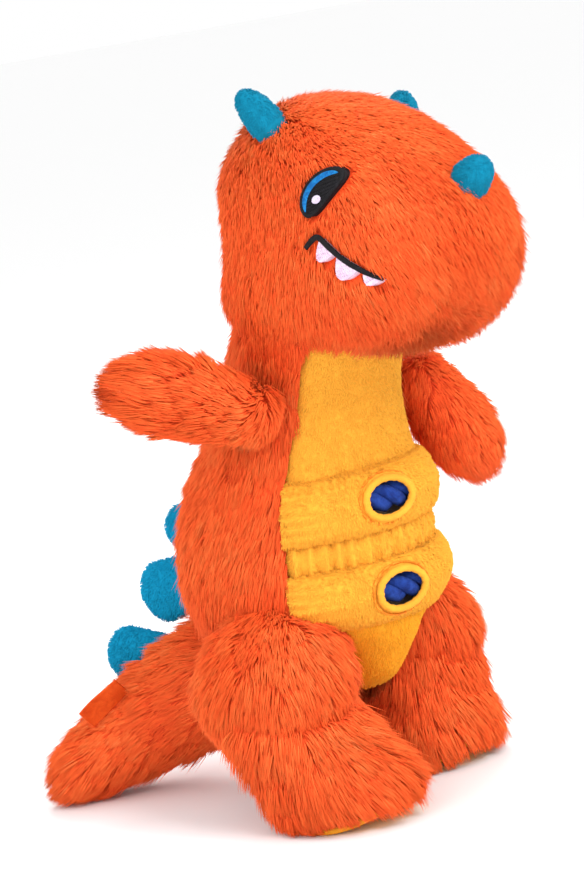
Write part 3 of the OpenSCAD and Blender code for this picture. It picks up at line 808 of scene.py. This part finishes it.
def make_strands():
    for word, z in (("upper", UPPER_Z), ("lower", LOWER_Z)):
        for k in range(3):
            s = np.linspace(0, 1, 150)
            turn = -2 * math.pi * (STRAND_TURNS * s + k / 3)
            line = body_point(z + STRAND_TWIST * np.sin(turn), -STRAND_REACH + 2 * STRAND_REACH * s,
                              STRAND_OUT + STRAND_TWIST * np.cos(turn))
            along = unit(np.gradient(line, axis=0))
            side = unit(np.cross(along, [0, 0, 1]))
            up = np.cross(side, along)
            rings = []
            for i in range(len(line)):
                t = circle(18)[:, None]
                r = STRAND_R * (1 + 0.05 * np.sin(5 * t + i * 0.35) + 0.03 * np.sin(9 * t - i * 0.5))
                rings.append(line[i] + (side[i] * np.cos(t) + up[i] * np.sin(t)) * r)
            piece = capped_loft(f"{word}_fleece_{k + 1}", rings, cloth["fleece_navy"])
            settle(piece, "fleece_navy", "torso", f"{word}_strand_{k + 1}")


# ---------------------------------------------------------------- head

HEAD_MIDDLE = np.array([0.0, -72.0, 228.0])
HEAD_HALF = 47
HEAD_TILT = math.radians(6)
OUTLINE = [64, 69, 63, 49, 43, 44, 50.5, 50, 46.5, 42, 47, 71]
PILLOW = 2.7
GUSSET_X = 31
HEAD_FUR = dict(per_mm2=3.2, width=0.66, tuft=3.4, gather=0.32, lift=36)


def outline(a):
    return closed_curve(OUTLINE, np.asarray(a, float) / 360)


def tilt_head(points, tilt=HEAD_TILT):
    """Leans the upright head towards its left shoulder."""
    x, y, z = np.moveaxis(points - HEAD_MIDDLE, -1, 0)
    c, s = math.cos(tilt), math.sin(tilt)
    return HEAD_MIDDLE + np.stack([x * c + z * s, y, -x * s + z * c], -1)


def upright_head(points):
    return tilt_head(points, -HEAD_TILT)


def pillow(q):
    return np.maximum(1 - np.abs(q) ** PILLOW, 0) ** (1 / PILLOW)


def head_q(x):
    return (1 - (x / HEAD_HALF) ** PILLOW) ** (1 / PILLOW)


def head_point(side, a, q, inset=0.0):
    """Point on the upright head: side, angle a round the outline, q from the side's middle to the outline."""
    r = (outline(a) - inset) * q
    x = (HEAD_HALF - inset) * pillow(q) + r * 0
    a = np.radians(a)
    return HEAD_MIDDLE + np.stack([side * x, r * np.cos(a), r * np.sin(a)], -1)


def cheek(side, y, z, lift=0.0):
    """The point of the upright head's side surface at depth y and height z, lifted off it."""
    v = np.stack([np.asarray(y, float) - HEAD_MIDDLE[1], np.asarray(z, float) - HEAD_MIDDLE[2]], -1)
    a = np.degrees(np.arctan2(v[..., 1], v[..., 0]))
    q = np.linalg.norm(v, axis=-1) / outline(a)
    x = side * (HEAD_HALF * pillow(q) + lift)
    return np.stack([x, v[..., 0] + HEAD_MIDDLE[1], v[..., 1] + HEAD_MIDDLE[2]], -1)


def head_flow(p):
    """Down the cheeks and the back of the head, turning forward along the snout."""
    way = np.zeros_like(p)
    forward = np.clip((-70 - p[:, 1]) / 50, 0, 1)
    top = np.clip((p[:, 2] - 240) / 25, 0, 1)
    way[:, 1] = 0.2 - 0.7 * top - (1.1 - 0.5 * top) * forward
    way[:, 2] = -1 + 0.25 * forward
    way[:, 0] = 0.004 * p[:, 0]
    return way


def head_length(p):
    """Short on the brow, longer on the muzzle, the jaw and down the back of the head."""
    short = np.interp(p[:, 2], [182, 205, 235, 275], [10, 8.5, 6.6, 6.4])
    snout = np.interp(p[:, 1], [-125, -105, -85], [2.0, 0.8, 0])
    return short + snout


EYE, EYE_LONG, EYE_WIDE, EYE_LEAN = np.array([-84.8, 244.8]), 10.4, 7.1, math.radians(131)
MOUTH = [(-77.4, 224.6), (-83.4, 228.2), (-88.4, 224.2), (-94, 219), (-100, 214.3), (-106, 210)]
TEETH = [(0.38, 8.8, 7.6), (0.65, 10.0, 7.8), (0.89, 6.4, 4.4)]
TOOTH_DROP = 0.3


def eye_outline(scale=1.0, n=60):
    """The eye's outline: an oval whose lower front edge is cut straight."""
    t = circle(n)
    x, y = EYE_LONG * np.cos(t), EYE_WIDE * np.sin(t)
    y = np.where(y > 0, y * (1 - 0.42 * (y / EYE_WIDE) ** 1.0), y)
    c, s = math.cos(EYE_LEAN), math.sin(EYE_LEAN)
    return EYE + scale * np.stack([x * c - y * s, x * s + y * c], 1)


def in_polygon(points, polygon):
    """Which of the points lie inside the polygon."""
    inside = np.zeros(len(points), bool)
    x, y = points[:, 0], points[:, 1]
    n = len(polygon)
    for i in range(n):
        (x0, y0), (x1, y1) = polygon[i], polygon[(i + 1) % n]
        if y0 == y1:
            continue
        crosses = ((y0 > y) != (y1 > y)) & (x < (x1 - x0) * (y - y0) / (y1 - y0) + x0)
        inside ^= crosses
    return inside


def tooth_outline(t, width, depth):
    """A rounded tooth hanging from the mouth line at t."""
    p = curve(MOUTH, np.array(t))
    d = unit(curve(MOUTH, np.array(t + 0.05)) - curve(MOUTH, np.array(t - 0.05)))
    down = np.array([-d[1], d[0]])
    if down[1] > 0:
        down = -down
    root = p + down * TOOTH_DROP
    s = np.linspace(-1, 1, 15)
    edge = [root - d * width / 2, *[
        root + down * depth * (1 - abs(k) ** 2.2) * 0.98 + d * width / 2 * k * 0.98 for k in s],
        root + d * width / 2]
    return np.array(edge)


def mouth_points(n=80):
    return curve(MOUTH, np.linspace(0, 1, n))


def over_embroidery(side):
    """Tells which strands would hide the eye, the mouth line or the teeth."""
    eye = eye_outline(1.0)
    teeth = [tooth_outline(*t) for t in TEETH]
    line = mouth_points()

    def fall_in(roots, tips):
        hidden = np.zeros(len(roots), bool)
        for share in (0.0, 0.4, 0.7, 0.92):
            p = upright_head(roots + (tips - roots) * share)
            q = p[:, 1:]
            hidden |= in_polygon(q, eye)
            for tooth in teeth:
                hidden |= in_polygon(q, tooth)
            near = np.linalg.norm(q[:, None, :] - line[None, ::3], axis=2).min(1) if len(q) else q[:, 0]
            hidden |= near < 1.1
        return hidden & (np.sign(upright_head(roots)[:, 0]) == side)

    return fall_in


def make_head():
    seam_q = head_q(GUSSET_X)
    inset = -SKIN_DEPTH
    angles = np.linspace(0, 360, 120, endpoint=False)[None, :]
    for side in (RIGHT, LEFT):
        word = SIDE_NAME[side]
        q = np.linspace(0.03, seam_q, 34)[:, None]
        grid = tilt_head(head_point(side, angles, q, inset))
        if side == LEFT:
            grid = grid[::-1]
        grid = outward_grid(grid, HEAD_MIDDLE)
        skin = Skin.of_grid(grid, True)
        coat(f"head_coat_{word}", grid, "head", f"head_side_{word}")
        grow(f"head_pile_{word}", skin, head_length, head_flow, fall_in=over_embroidery(side),
             seed=31 + side, body="head", **HEAD_FUR)
    q = np.concatenate([np.linspace(0.03, 1, 24), np.linspace(1, 0.03, 24)[1:]])
    sides = np.repeat([LEFT, RIGHT], [24, 23])
    rings = [tilt_head(head_point(s, angles[0], k, 7.5)) for s, k in zip(sides, q)]
    filling = capped_loft("head_filling", rings, cloth["fibre"])
    settle(filling, "fibre_fill", "head", "head_stuffing")
    rows = np.concatenate([np.linspace(seam_q, 1, 12), np.linspace(1, seam_q, 12)[1:]])
    sides = np.concatenate([np.full(12, LEFT), np.full(11, RIGHT)])
    grid = np.stack([head_point(s, angles[0], q, inset) for s, q in zip(sides, rows)])
    grid = outward_grid(tilt_head(grid), HEAD_MIDDLE)
    coat("head_coat_gusset", grid, "head", "head_gusset")
    grow("head_pile_gusset", Skin.of_grid(grid, True), head_length, head_flow, seed=35, body="head",
         **HEAD_FUR)


# ---------------------------------------------------------------- embroidery

def thread_runs(polygon, angle, pitch, stagger=4.5):
    """Straight stitches that fill a polygon, as (start, end) points, side by side at an angle."""
    d = np.array([math.cos(angle), math.sin(angle)])
    across = np.array([-d[1], d[0]])
    s, c = polygon @ d, polygon @ across
    runs = []
    for k, level in enumerate(np.arange(c.min() + pitch / 2, c.max(), pitch)):
        hits = []
        for i in range(len(polygon)):
            j = (i + 1) % len(polygon)
            if (c[i] > level) != (c[j] > level):
                hits.append(s[i] + (s[j] - s[i]) * (level - c[i]) / (c[j] - c[i]))
        hits.sort()
        for a, b in zip(hits[::2], hits[1::2]):
            cuts = [a, *[x for x in np.arange(a + (k % 3 + 1) * stagger / 3, b - 1, stagger)], b]
            runs += [(d * u + across * level, d * v + across * level) for u, v in zip(cuts, cuts[1:])]
    return runs


def stitch(name, side, runs, thread, lift, slot_name, node=None):
    """Threads laid on the cheek, one little arched tube per stitch."""
    steps, sides = 6, 6
    tubes = []
    s = np.linspace(0, 1, steps)
    for start, end in runs:
        start, end = np.array(start), np.array(end)
        d = unit(end - start)
        across = np.array([-d[1], d[0]])
        line = start + (end - start) * s[:, None]
        arch = np.sin(math.pi * s) ** 0.4
        rings = []
        for k in range(sides):
            t = 2 * math.pi * k / sides
            q = line + across * (thread * 0.56 * math.cos(t) * (0.55 + 0.45 * arch))[:, None]
            rings.append(cheek(side, q[:, 0], q[:, 1], lift + thread * 0.5 * (arch - 1 + math.sin(t))))
        tubes.append(np.stack(rings, 1))
    tubes = np.array(tubes)
    count = len(tubes)
    points = tilt_head(tubes.reshape(-1, 3))
    base = (np.arange(count) * steps * sides)[:, None, None]
    quads = (base + grid_faces(steps, sides, True)).reshape(-1, 4)
    if side == LEFT:
        quads = quads[:, ::-1]
    settle(new_piece(name, points, [quads], [cloth[slot_name]]), slot_name, "head", node)


def backing(name, side, polygon, lift, slot_name):
    """A thin pad under stitches, which the fur doesn't show through."""
    middle = polygon.mean(0)
    rings = []
    for scale in np.linspace(0.02, 1, 7):
        q = middle + (polygon - middle) * scale
        rings.append(cheek(side, q[:, 0], q[:, 1], lift - 0.8 * scale**8))
    q = middle + (polygon - middle) * 1.0
    rings.append(cheek(side, q[:, 0], q[:, 1], lift - 3.2))
    grid = outward_grid(tilt_head(np.stack(rings)), HEAD_MIDDLE)
    piece = new_piece(name, grid.reshape(-1, 3), [grid_faces(*grid.shape[:2], True)], [cloth[slot_name]])
    settle(piece, slot_name, "head")


def make_face():
    level = 0.9
    c, s = math.cos(EYE_LEAN), math.sin(EYE_LEAN)
    lean = np.array([[c, -s], [s, c]])
    for side in (RIGHT, LEFT):
        word = SIDE_NAME[side]
        shape = eye_outline()
        backing(f"eye_pad_{word}", side, shape, level - 0.2, "thread_black")
        stitch(f"eye_stitches_{word}", side, thread_runs(shape, EYE_LEAN + 0.25, 0.42), 0.5, level,
               "thread_black", f"eye_{word}")
        dense = eye_outline(1.0, 150)
        edge = [(p - unit(p - EYE) * 1.2, p + unit(p - EYE) * 0.35) for p in dense]
        stitch(f"eye_rim_{word}", side, edge, 0.5, level + 0.25, "thread_black")
        runs = []
        for t in np.radians(np.linspace(2, 178, 96)):
            bulge = np.sin((t - math.radians(2)) / math.radians(176) * math.pi) ** 0.6
            a, b = (np.array([EYE_LONG * k * math.cos(t), -EYE_WIDE * k * math.sin(t)])
                    for k in (0.88 - 0.36 * bulge, 0.88))
            runs.append((EYE + lean @ a, EYE + lean @ b))
        stitch(f"iris_stitches_{word}", side, runs, 0.5, level + 0.35, "thread_blue", f"iris_{word}")
        glint_t = circle(24)
        glint = EYE + np.array([1.2, -2.4]) + np.stack([1.9 * np.cos(glint_t), 1.6 * np.sin(glint_t)], 1)
        stitch(f"glint_stitches_{word}", side, thread_runs(glint, 0.9, 0.4), 0.48, level + 0.4,
               "thread_white", f"glint_{word}")
        line = mouth_points(110)
        along = unit(np.gradient(line, axis=0))
        across = np.stack([-along[:, 1], along[:, 0]], 1)
        taper = np.interp(np.linspace(0, 1, 110), [0, 0.1, 0.85, 1], [0.9, 1.15, 1.05, 0.5])[:, None]
        runs = list(zip(line - across * taper, line + across * taper))
        stitch(f"mouth_stitches_{word}", side, runs, 0.5, level + 0.45, "thread_black",
               f"mouth_line_{word}")
        runs = []
        for i, tooth in enumerate(TEETH):
            shape = tooth_outline(*tooth)
            backing(f"tooth_pad_{word}_{i + 1}", side, shape, level - 0.2, "thread_lavender")
            d = curve(MOUTH, np.array(tooth[0] + 0.05)) - curve(MOUTH, np.array(tooth[0] - 0.05))
            runs += thread_runs(shape, math.atan2(d[1], d[0]) + 0.2, 0.42, 3.0)
        stitch(f"teeth_stitches_{word}", side, runs, 0.48, level + 0.1, "thread_lavender",
               f"teeth_{word}")


# ---------------------------------------------------------------- horns

def horn_frame(side, a, x, turn, lean):
    p = head_point(side, np.array(a), np.array(head_q(x)))
    t, s = math.radians(turn), math.radians(lean)
    about_x = np.array([[1, 0, 0], [0, math.cos(s), -math.sin(s)], [0, math.sin(s), math.cos(s)]])
    about_z = np.array([[math.cos(t), -math.sin(t), 0], [math.sin(t), math.cos(t), 0], [0, 0, 1]])
    return p, about_z @ about_x


def make_horn(name, node, frame_of, length, radius, seed):
    """A stuffed velour cone with a seam down one side, puckered where it is sewn on."""
    p, turn = frame_of
    rings = []
    rows, cols = 40, 48
    for i in range(rows):
        v = i / (rows - 1)
        a = math.radians(90 * v)
        t = circle(cols)
        r = radius * max(math.cos(a), 0) ** 0.8 * (1 + 0.05 * np.sin(7 * t + 1) * (1 - v) ** 2)
        r = r * (1 - 0.07 * np.exp(-((np.angle(np.exp(1j * (t - 1.2))) / 0.13) ** 2)))
        h = length * math.sin(a) ** 1.12
        ring = np.stack([r * np.cos(t), r * np.sin(t), np.full(cols, h - (5 if i == 0 else 0.5))], 1)
        ring += wobble(ring, 9, seed)[:, None] * np.array([0.35, 0.35, 0.0]) * (1 - v * 0.7)
        rings.append(p + ring @ turn.T)
    rings = tilt_head(np.array(rings))
    skin = Skin.of_grid(outward_grid(rings[1:], rings.reshape(-1, 3).mean(0)), True)
    grow_nap(f"{name}_nap", skin, shaded_horn_nap, "velour_cyan", seed + 130, "head", long=0.9)
    piece = capped_loft(name, rings, shaded_horn_velour)
    settle(piece, "velour_cyan", "head", node)


def make_horns():
    for side, a, x in ((RIGHT, 64, 34), (LEFT, 67, 38)):
        word = SIDE_NAME[side]
        make_horn(f"rear_horn_velour_{word}", f"rear_horn_{word}",
                  horn_frame(side, a, x, side * -55, -36), 17, 7.2, 50 + side)
    make_horn("nose_horn_velour", "nose_horn", horn_frame(LEFT, 161, 4.5, 0, 52), 13.5, 7.6, 55)


# ---------------------------------------------------------------- limbs

ARM_R, ARM_LENGTH, HIP_R = 14.5, 54, 27
ARM_PIVOT = {RIGHT: np.array([-49.5, -34, 168]), LEFT: np.array([49.5, -34, 161])}
ARM_WAY = {RIGHT: unit([-58, 26, 26]), LEFT: unit([30, -4, -48])}
FOOT_X, STRIDE, SOLE_LENGTH, FOOT_HALF, TOE_R = 39, 28, 60, 25.5, 42
TAIL_PIVOT, TAIL_WAY, TAIL_R = np.array([0, 59, 46]), unit([-8, 26, -10]), 23.5


def ball_end(p, d, r):
    angles = [math.radians(a) for a in (80, 62, 40, 18)]
    return [(*(p - d * r * math.sin(a)), r * math.cos(a), r * math.cos(a)) for a in angles]


def limb_grid(path, rows, cols):
    t = np.linspace(0, 1, rows)
    s = curve(path, t)
    along = unit(curve(path, t + 0.01)[:, :3] - curve(path, t - 0.01)[:, :3])
    side = unit(np.cross(along, [0, 0, 1]))
    up = np.cross(side, along)
    a = circle(cols)[None, :, None]
    r = np.maximum(s[:, 3:5], 0.4)
    return (s[:, None, :3] + r[:, None, :1] * side[:, None] * np.cos(a)
            + r[:, None, 1:] * up[:, None] * np.sin(a))


def arm_path(side):
    """The raised arm is seen at its full length, and the drooping one is stuffed a little shorter."""
    p, d, r = ARM_PIVOT[side], ARM_WAY[side], ARM_R + SKIN_DEPTH
    far = ARM_LENGTH - (3 if side == RIGHT else 9)
    root = r - 2.5
    return ball_end(p, d, root) + [
        (*p, root, root), (*(p + d * far * 0.35), r, r - 0.5), (*(p + d * far * 0.65), r + 1, r),
        (*(p + d * far * 0.88), r * 0.86, r * 0.8), (*(p + d * far * 0.98), r * 0.45, r * 0.42),
        (*(p + d * far), 0.8, 0.8)]


def make_arms():
    for side in (RIGHT, LEFT):
        word = SIDE_NAME[side]
        pivot, way = ARM_PIVOT[side], ARM_WAY[side]
        grid = outward_grid(limb_grid(arm_path(side), 60, 44), pivot + way * 20)
        coat(f"arm_coat_{word}", grid, f"arm_{word}", f"arm_fur_{word}")
        hearts = grid.mean(1, keepdims=True)
        filling = capped_loft(f"arm_filling_{word}", (hearts + (grid - hearts) * 0.86)[2:-2], cloth["fibre"])
        settle(filling, "fibre_fill", f"arm_{word}", f"arm_stuffing_{word}")

        def flow(p, pivot=pivot, way=way):
            reach = (p - pivot) @ way
            radial = (p - pivot) - reach[:, None] * way
            root = np.clip((8 - reach) / 16, 0, 1)[:, None]
            outward = (way + radial * 0.02) * (1 - root)
            return outward + np.array([0, 0.25, -1]) * root + np.array([0, 0, -0.12])

        def length(p, pivot=pivot, way=way):
            by_reach = np.interp((p - pivot) @ way, [-10, 5, 32, 48], [7, 9, 13, 14.5])
            return by_reach * (1 if way[2] > 0 else 0.85)

        grow(f"arm_pile_{word}", Skin.of_grid(grid, True), length, flow, tuft=4.4, gather=0.6,
             fall_in=lambda roots, tips: inside_body(roots, -2), seed=61 + side, body=f"arm_{word}")


def foot_y(side):
    return FEET_MIDDLE_Y + side * STRIDE / 2


def hip(side):
    return np.array([side * 44, foot_y(side) * 0.35 - 4, 41])


def toe_rise(y, middle, above=0.0):
    past = np.maximum(middle - SOLE_LENGTH * 0.08 - y, 0)
    r = TOE_R - above
    return r - np.sqrt(r * r - past**2)


def leg_grid(side, inset, rows=56, cols=72):
    """Rings stacked from the sole up to the round hip."""
    h = hip(side)
    f = np.array([side * FOOT_X, foot_y(side)])
    a = circle(cols)
    rings = []
    for level, wide, long in ((3.4, 0.97, 0.97), (9, 1.03, 1.02), (18, 1.02, 0.98), (28, 0.98, 0.9)):
        x = (FOOT_HALF * wide - inset) * power_sign(np.cos(a), 0.9)
        y = (SOLE_LENGTH / 2 * long - inset) * power_sign(np.sin(a), 0.9)
        shift = (h[:2] - f) * (level / h[2]) ** 1.6
        z = level + toe_rise(f[1] + y, f[1], min(level, 6)) * (1 - level / 60)
        rings.append(np.stack([f[0] + shift[0] + x, f[1] + shift[1] + y, z], 1))
    for e in (4, 24, 42, 58, 74, 86):
        r, c, s = HIP_R - inset, math.cos(math.radians(e)), math.sin(math.radians(e))
        rings.append(h + r * np.stack([c * np.cos(a), c * np.sin(a), np.full(cols, s)], 1))
    rings = np.array(rings)
    flat = rings.reshape(len(rings), -1)
    return curve(flat, np.linspace(0, 1, rows)).reshape(rows, cols, 3)


def make_legs():
    for side in (RIGHT, LEFT):
        word = SIDE_NAME[side]
        middle = hip(side)
        grid = outward_grid(leg_grid(side, -SKIN_DEPTH), middle - np.array([0, 0, 15]))
        coat(f"leg_coat_{word}", grid, f"leg_{word}", f"leg_fur_{word}")

        def flow(p, middle=middle):
            way = (p - middle) * np.array([0.02, 0.02, 0.0])
            way[:, 2] = -1
            return way

        def length(p):
            low = np.interp(p[:, 2], [3, 12, 40, 66], [9.5, 13, 13.5, 12])
            toe = np.clip((middle[1] - 22 - p[:, 1]) / 8, 0, 1) * np.clip((16 - p[:, 2]) / 8, 0, 1)
            return low * (1 - 0.5 * toe)

        grow(f"leg_pile_{word}", Skin.of_grid(grid, True), length, flow, tuft=4.6, gather=0.55,
             fall_in=lambda roots, tips: inside_body(roots, -3) | inside_haunch(side, roots, 0.93),
             seed=71 + side, body=f"leg_{word}")
        make_sole(side)
        make_haunch(side)


HAUNCH_SIZE, HAUNCH_Z, HAUNCH_LEAN = (24, 31, 31), 57, 0.25


def haunch_middle(side):
    return hip(side) * np.array([1, 1, 0]) + np.array([0, 3, HAUNCH_Z])


def inside_haunch(side, p, share=1.0):
    v = p - haunch_middle(side)
    x = v[:, 0] + side * HAUNCH_LEAN * v[:, 2]
    a, b, c = HAUNCH_SIZE
    return (x / a) ** 2 + (v[:, 1] / b) ** 2 + (v[:, 2] / c) ** 2 < share


def make_haunch(side):
    """The padded fold of coat that joins the leg to the side of the body."""
    word = SIDE_NAME[side]
    e = np.radians(np.linspace(-86, 86, 40))[:, None]
    t = circle(56)[None, :]
    a, b, c = HAUNCH_SIZE
    z = c * np.sin(e) * np.ones_like(t)
    shape = np.stack([a * np.cos(e) * np.cos(t) - side * HAUNCH_LEAN * z, b * np.cos(e) * np.sin(t), z], -1)
    middle = haunch_middle(side)
    grid = outward_grid(shape + middle, middle)

    def join(piece):
        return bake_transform(piece)

    coat(f"haunch_coat_{word}", grid, join)
    knee = hip(side)

    def flow(p):
        way = (p - middle) * np.array([0.012, 0.012, 0.0])
        way[:, 2] = -1
        return way

    def hidden(roots, tips):
        near_hip = np.linalg.norm(roots - knee, axis=1) < HIP_R - 4
        ragged = 33 + 7 * wobble(roots, 7, 17)
        return inside_body(roots, -3) | near_hip | (roots[:, 2] < ragged)

    def length(p):
        return np.interp(p[:, 2], [36, 47, 60, 74, 86], [5.5, 9, 12.5, 10, 7.5])

    grow(f"haunch_pile_{word}", Skin.of_grid(grid, True), length, flow, tuft=4.6,
         gather=0.5, fall_in=hidden, seed=101 + side, body=join)


def make_sole(side):
    """A velour sole with a soft rounded edge, curving up at the toe."""
    word = SIDE_NAME[side]
    cols = 96
    a = circle(cols)
    fx, fy = side * FOOT_X, foot_y(side)
    rings = []
    profile = [(0.05, 0.0), (0.5, 0.0), (0.9, 0.0), (0.965, 0.25), (0.992, 0.8), (1.0, 1.5), (0.992, 2.2),
               (0.965, 2.75), (0.9, 3.0), (0.5, 3.0), (0.05, 3.0)]
    for size, height in profile:
        x = FOOT_HALF * size * np.cos(a)
        y = SOLE_LENGTH / 2 * size * np.sin(a)
        rings.append(np.stack([fx + x, fy + y, height + toe_rise(fy + y, fy, height)], 1))
    piece = capped_loft(f"sole_velour_{word}", rings, velour_amber)
    settle(piece, "velour_amber", f"leg_{word}", f"sole_{word}")


def tail_path():
    inset = -SKIN_DEPTH
    return ball_end(TAIL_PIVOT, TAIL_WAY, TAIL_R - inset) + [
        (*TAIL_PIVOT, TAIL_R - inset, TAIL_R - inset), (-9, 79, 36, 22.5 - inset, 22.5 - inset),
        (-22, 96, 26, 20 - inset, 19 - inset), (-36, 107, 18, 15.5 - inset, 14.5 - inset),
        (-45, 113, 13, 11.5 - inset, 10.5 - inset), (-49.5, 115.5, 11.5, 0.8, 0.8)]


def make_tail():
    path = tail_path()
    grid = outward_grid(limb_grid(path, 70, 60), (-15, 85, 33))
    make_tag_cover(Skin.of_grid(grid, True))
    coat("tail_coat", grid, "tail", "tail_fur")
    line = curve(path, np.linspace(0.3, 1, 40))[:, :3]

    def flow(p):
        near = np.linalg.norm(p[:, None] - line[None], axis=2).argmin(1)
        return unit(np.gradient(line, axis=0))[near] + np.array([0, 0, -0.15])

    def length(p):
        by_tag = np.linalg.norm(p - TAG_ROOT, axis=1)
        along = np.interp(p[:, 1], [45, 80, 105, 118], [12, 12, 13, 12])
        return along * np.interp(by_tag, [9, 20], [0.35, 1])

    grow("tail_pile", Skin.of_grid(grid, True), length, flow, tuft=4.8, gather=0.6,
         fall_in=lambda roots, tips: inside_body(roots, -4), seed=81, body="tail")


# ---------------------------------------------------------------- plates and tag

PLATE_THICK = 8


def plate_outline(base, tip, width, n=40):
    base, tip = np.array(base, float), np.array(tip, float)
    along = unit(tip - base)
    across = np.array([-along[1], along[0]])
    long = np.linalg.norm(tip - base)
    a = np.radians(np.linspace(-90, 90, n))
    lobe = [base + along * (long - width / 2 + width / 2 * math.cos(t)) + across * width / 2 * math.sin(t)
            for t in a]
    return np.array([base - across * width * 0.4, *lobe, base + across * width * 0.4])


def make_plate(name, node, base, tip, width, body, swing=0.0, seed=1):
    """A stuffed lobe: two velour sides that meet in a seam round the edge."""
    shape = plate_outline(base, tip, width)
    steps = np.roll(shape, -1, 0) - shape
    shape = (shape[:, None] + steps[:, None] * np.arange(3)[:, None] / 3).reshape(-1, 2)
    middle = shape.mean(0)
    layers = []
    for q in np.arange(16) / 15:
        x = PLATE_THICK / 2 * (1 - q**2.6) ** 0.62 + 0.35 * math.exp(-(((1 - q) / 0.05) ** 2))
        layers.append((x, middle + (shape - middle) * max(q, 0.02)))
    layers += [(-x, ring) for x, ring in reversed(layers)]
    rings = np.array([np.column_stack([np.full(len(ring), x), ring]) for x, ring in layers])
    rings[..., 0] += wobble(rings.reshape(-1, 3), 14, seed).reshape(rings.shape[:2]) * 0.5
    if swing:
        c, s = math.cos(math.radians(swing)), math.sin(math.radians(swing))
        centre = np.array([-3.0, 70.0, 0.0])
        start = rings - np.array([0.0, 70.0, 0.0])
        rings = centre + np.stack([start[..., 0] * c - start[..., 1] * s,
                                   start[..., 0] * s + start[..., 1] * c, start[..., 2]], -1)
    skin = Skin.of_grid(outward_grid(rings[1:-1], rings.reshape(-1, 3).mean(0)), True)
    grow_nap(f"{name}_nap", skin, nap_cyan, "velour_cyan", seed + 60, body, long=1.5)
    piece = capped_loft(name, rings, velour_cyan)
    settle(piece, "velour_cyan", body, node)


def make_tag_cover(skin):
    """Strands beside the tag, on the side that it shows, which half cover it."""
    from_root = skin.points[skin.faces].mean(1) - TAG_ROOT
    beside = (np.linalg.norm(from_root, axis=1) < 15) & (from_root @ TAG_SHOWS > 3)
    cover = Skin(skin.points, skin.faces[beside])
    grow("tag_cover_pile", cover, lambda p: np.full(len(p), 11.0), lambda p: np.tile([-0.85, 0.5, 0.15], (
        len(p), 1)), per_mm2=2.2, lift=46, droop=34, tuft=4, gather=0.5, seed=121, body="tail")


def back_y(z):
    return float(body_point(z, 180)[1])


def make_plates():
    make_plate("back_plate_velour_1", "back_plate_1", (back_y(113) - 6, 114), (77, 108), 20, "torso", seed=91)
    make_plate("back_plate_velour_2", "back_plate_2", (back_y(89) - 8, 92), (100, 79), 26, "torso", seed=92)
    make_plate("tail_plate_velour", "tail_plate", (76, 52), (116, 58), 25, "tail", swing=12, seed=93)


TAG_ROOT, TAG_TURN, TAG_TILT, TAG_LEAN = np.array([-37.3, 92.6, 40.2]), 52, -35, -35
TAG_WIDTH, TAG_LENGTH = 21, 12
TAG_SHOWS = unit([-1, -1, 0.3])


def turn_about(axis, degrees):
    return np.array(Matrix.Rotation(math.radians(degrees), 3, axis))


def make_tag():
    """A folded woven ribbon: two layers with a gentle wave and a round fold at the end."""
    turn = turn_about("Z", TAG_TURN) @ turn_about("X", TAG_TILT) @ turn_about("Y", TAG_LEAN)
    s = np.linspace(0, 1, 60)
    half = 0.4
    straight = TAG_LENGTH - half
    up = np.where(s < 0.45, s / 0.45 * straight,
                  np.where(s > 0.55, (1 - s) / 0.45 * straight,
                           straight + half * np.sin((s - 0.45) / 0.1 * math.pi)))
    out = np.where(s < 0.45, half, np.where(s > 0.55, -half, half * np.cos((s - 0.45) / 0.1 * math.pi)))
    y = np.linspace(-TAG_WIDTH / 2, TAG_WIDTH / 2, 40)
    wave = 0.9 * np.sin(up / TAG_LENGTH * 2.4)[:, None] * np.sin(y * 0.22 + 0.6)[None, :]
    grid = np.stack([out[:, None] + wave, np.tile(y, (60, 1)), np.tile(up[:, None], (1, 40)) + 0.0], -1)
    grid = TAG_ROOT + grid @ turn.T + np.array([0.0, 0.0, -0.5])
    grid = outward_grid(grid, grid.reshape(-1, 3).mean(0))
    piece = grid_piece("care_tag_ribbon", grid, cloth["woven_orange"], thick=0.25)
    settle(piece, "woven_orange", "tag", "care_tag")


# ---------------------------------------------------------------- assembly

make_torso()
make_chest()
make_band("upper", UPPER_Z, 43)
make_band("lower", LOWER_Z, 44)
make_gathered_strip()
make_lower_belly()
make_strands()
make_head()
make_face()
make_horns()
make_arms()
make_legs()
make_tail()
make_plates()
make_tag()

for node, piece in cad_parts.items():
    if "stuffing" in node:
        piece.data.materials.clear()
        piece.data.materials.append(cloth["fibre"])
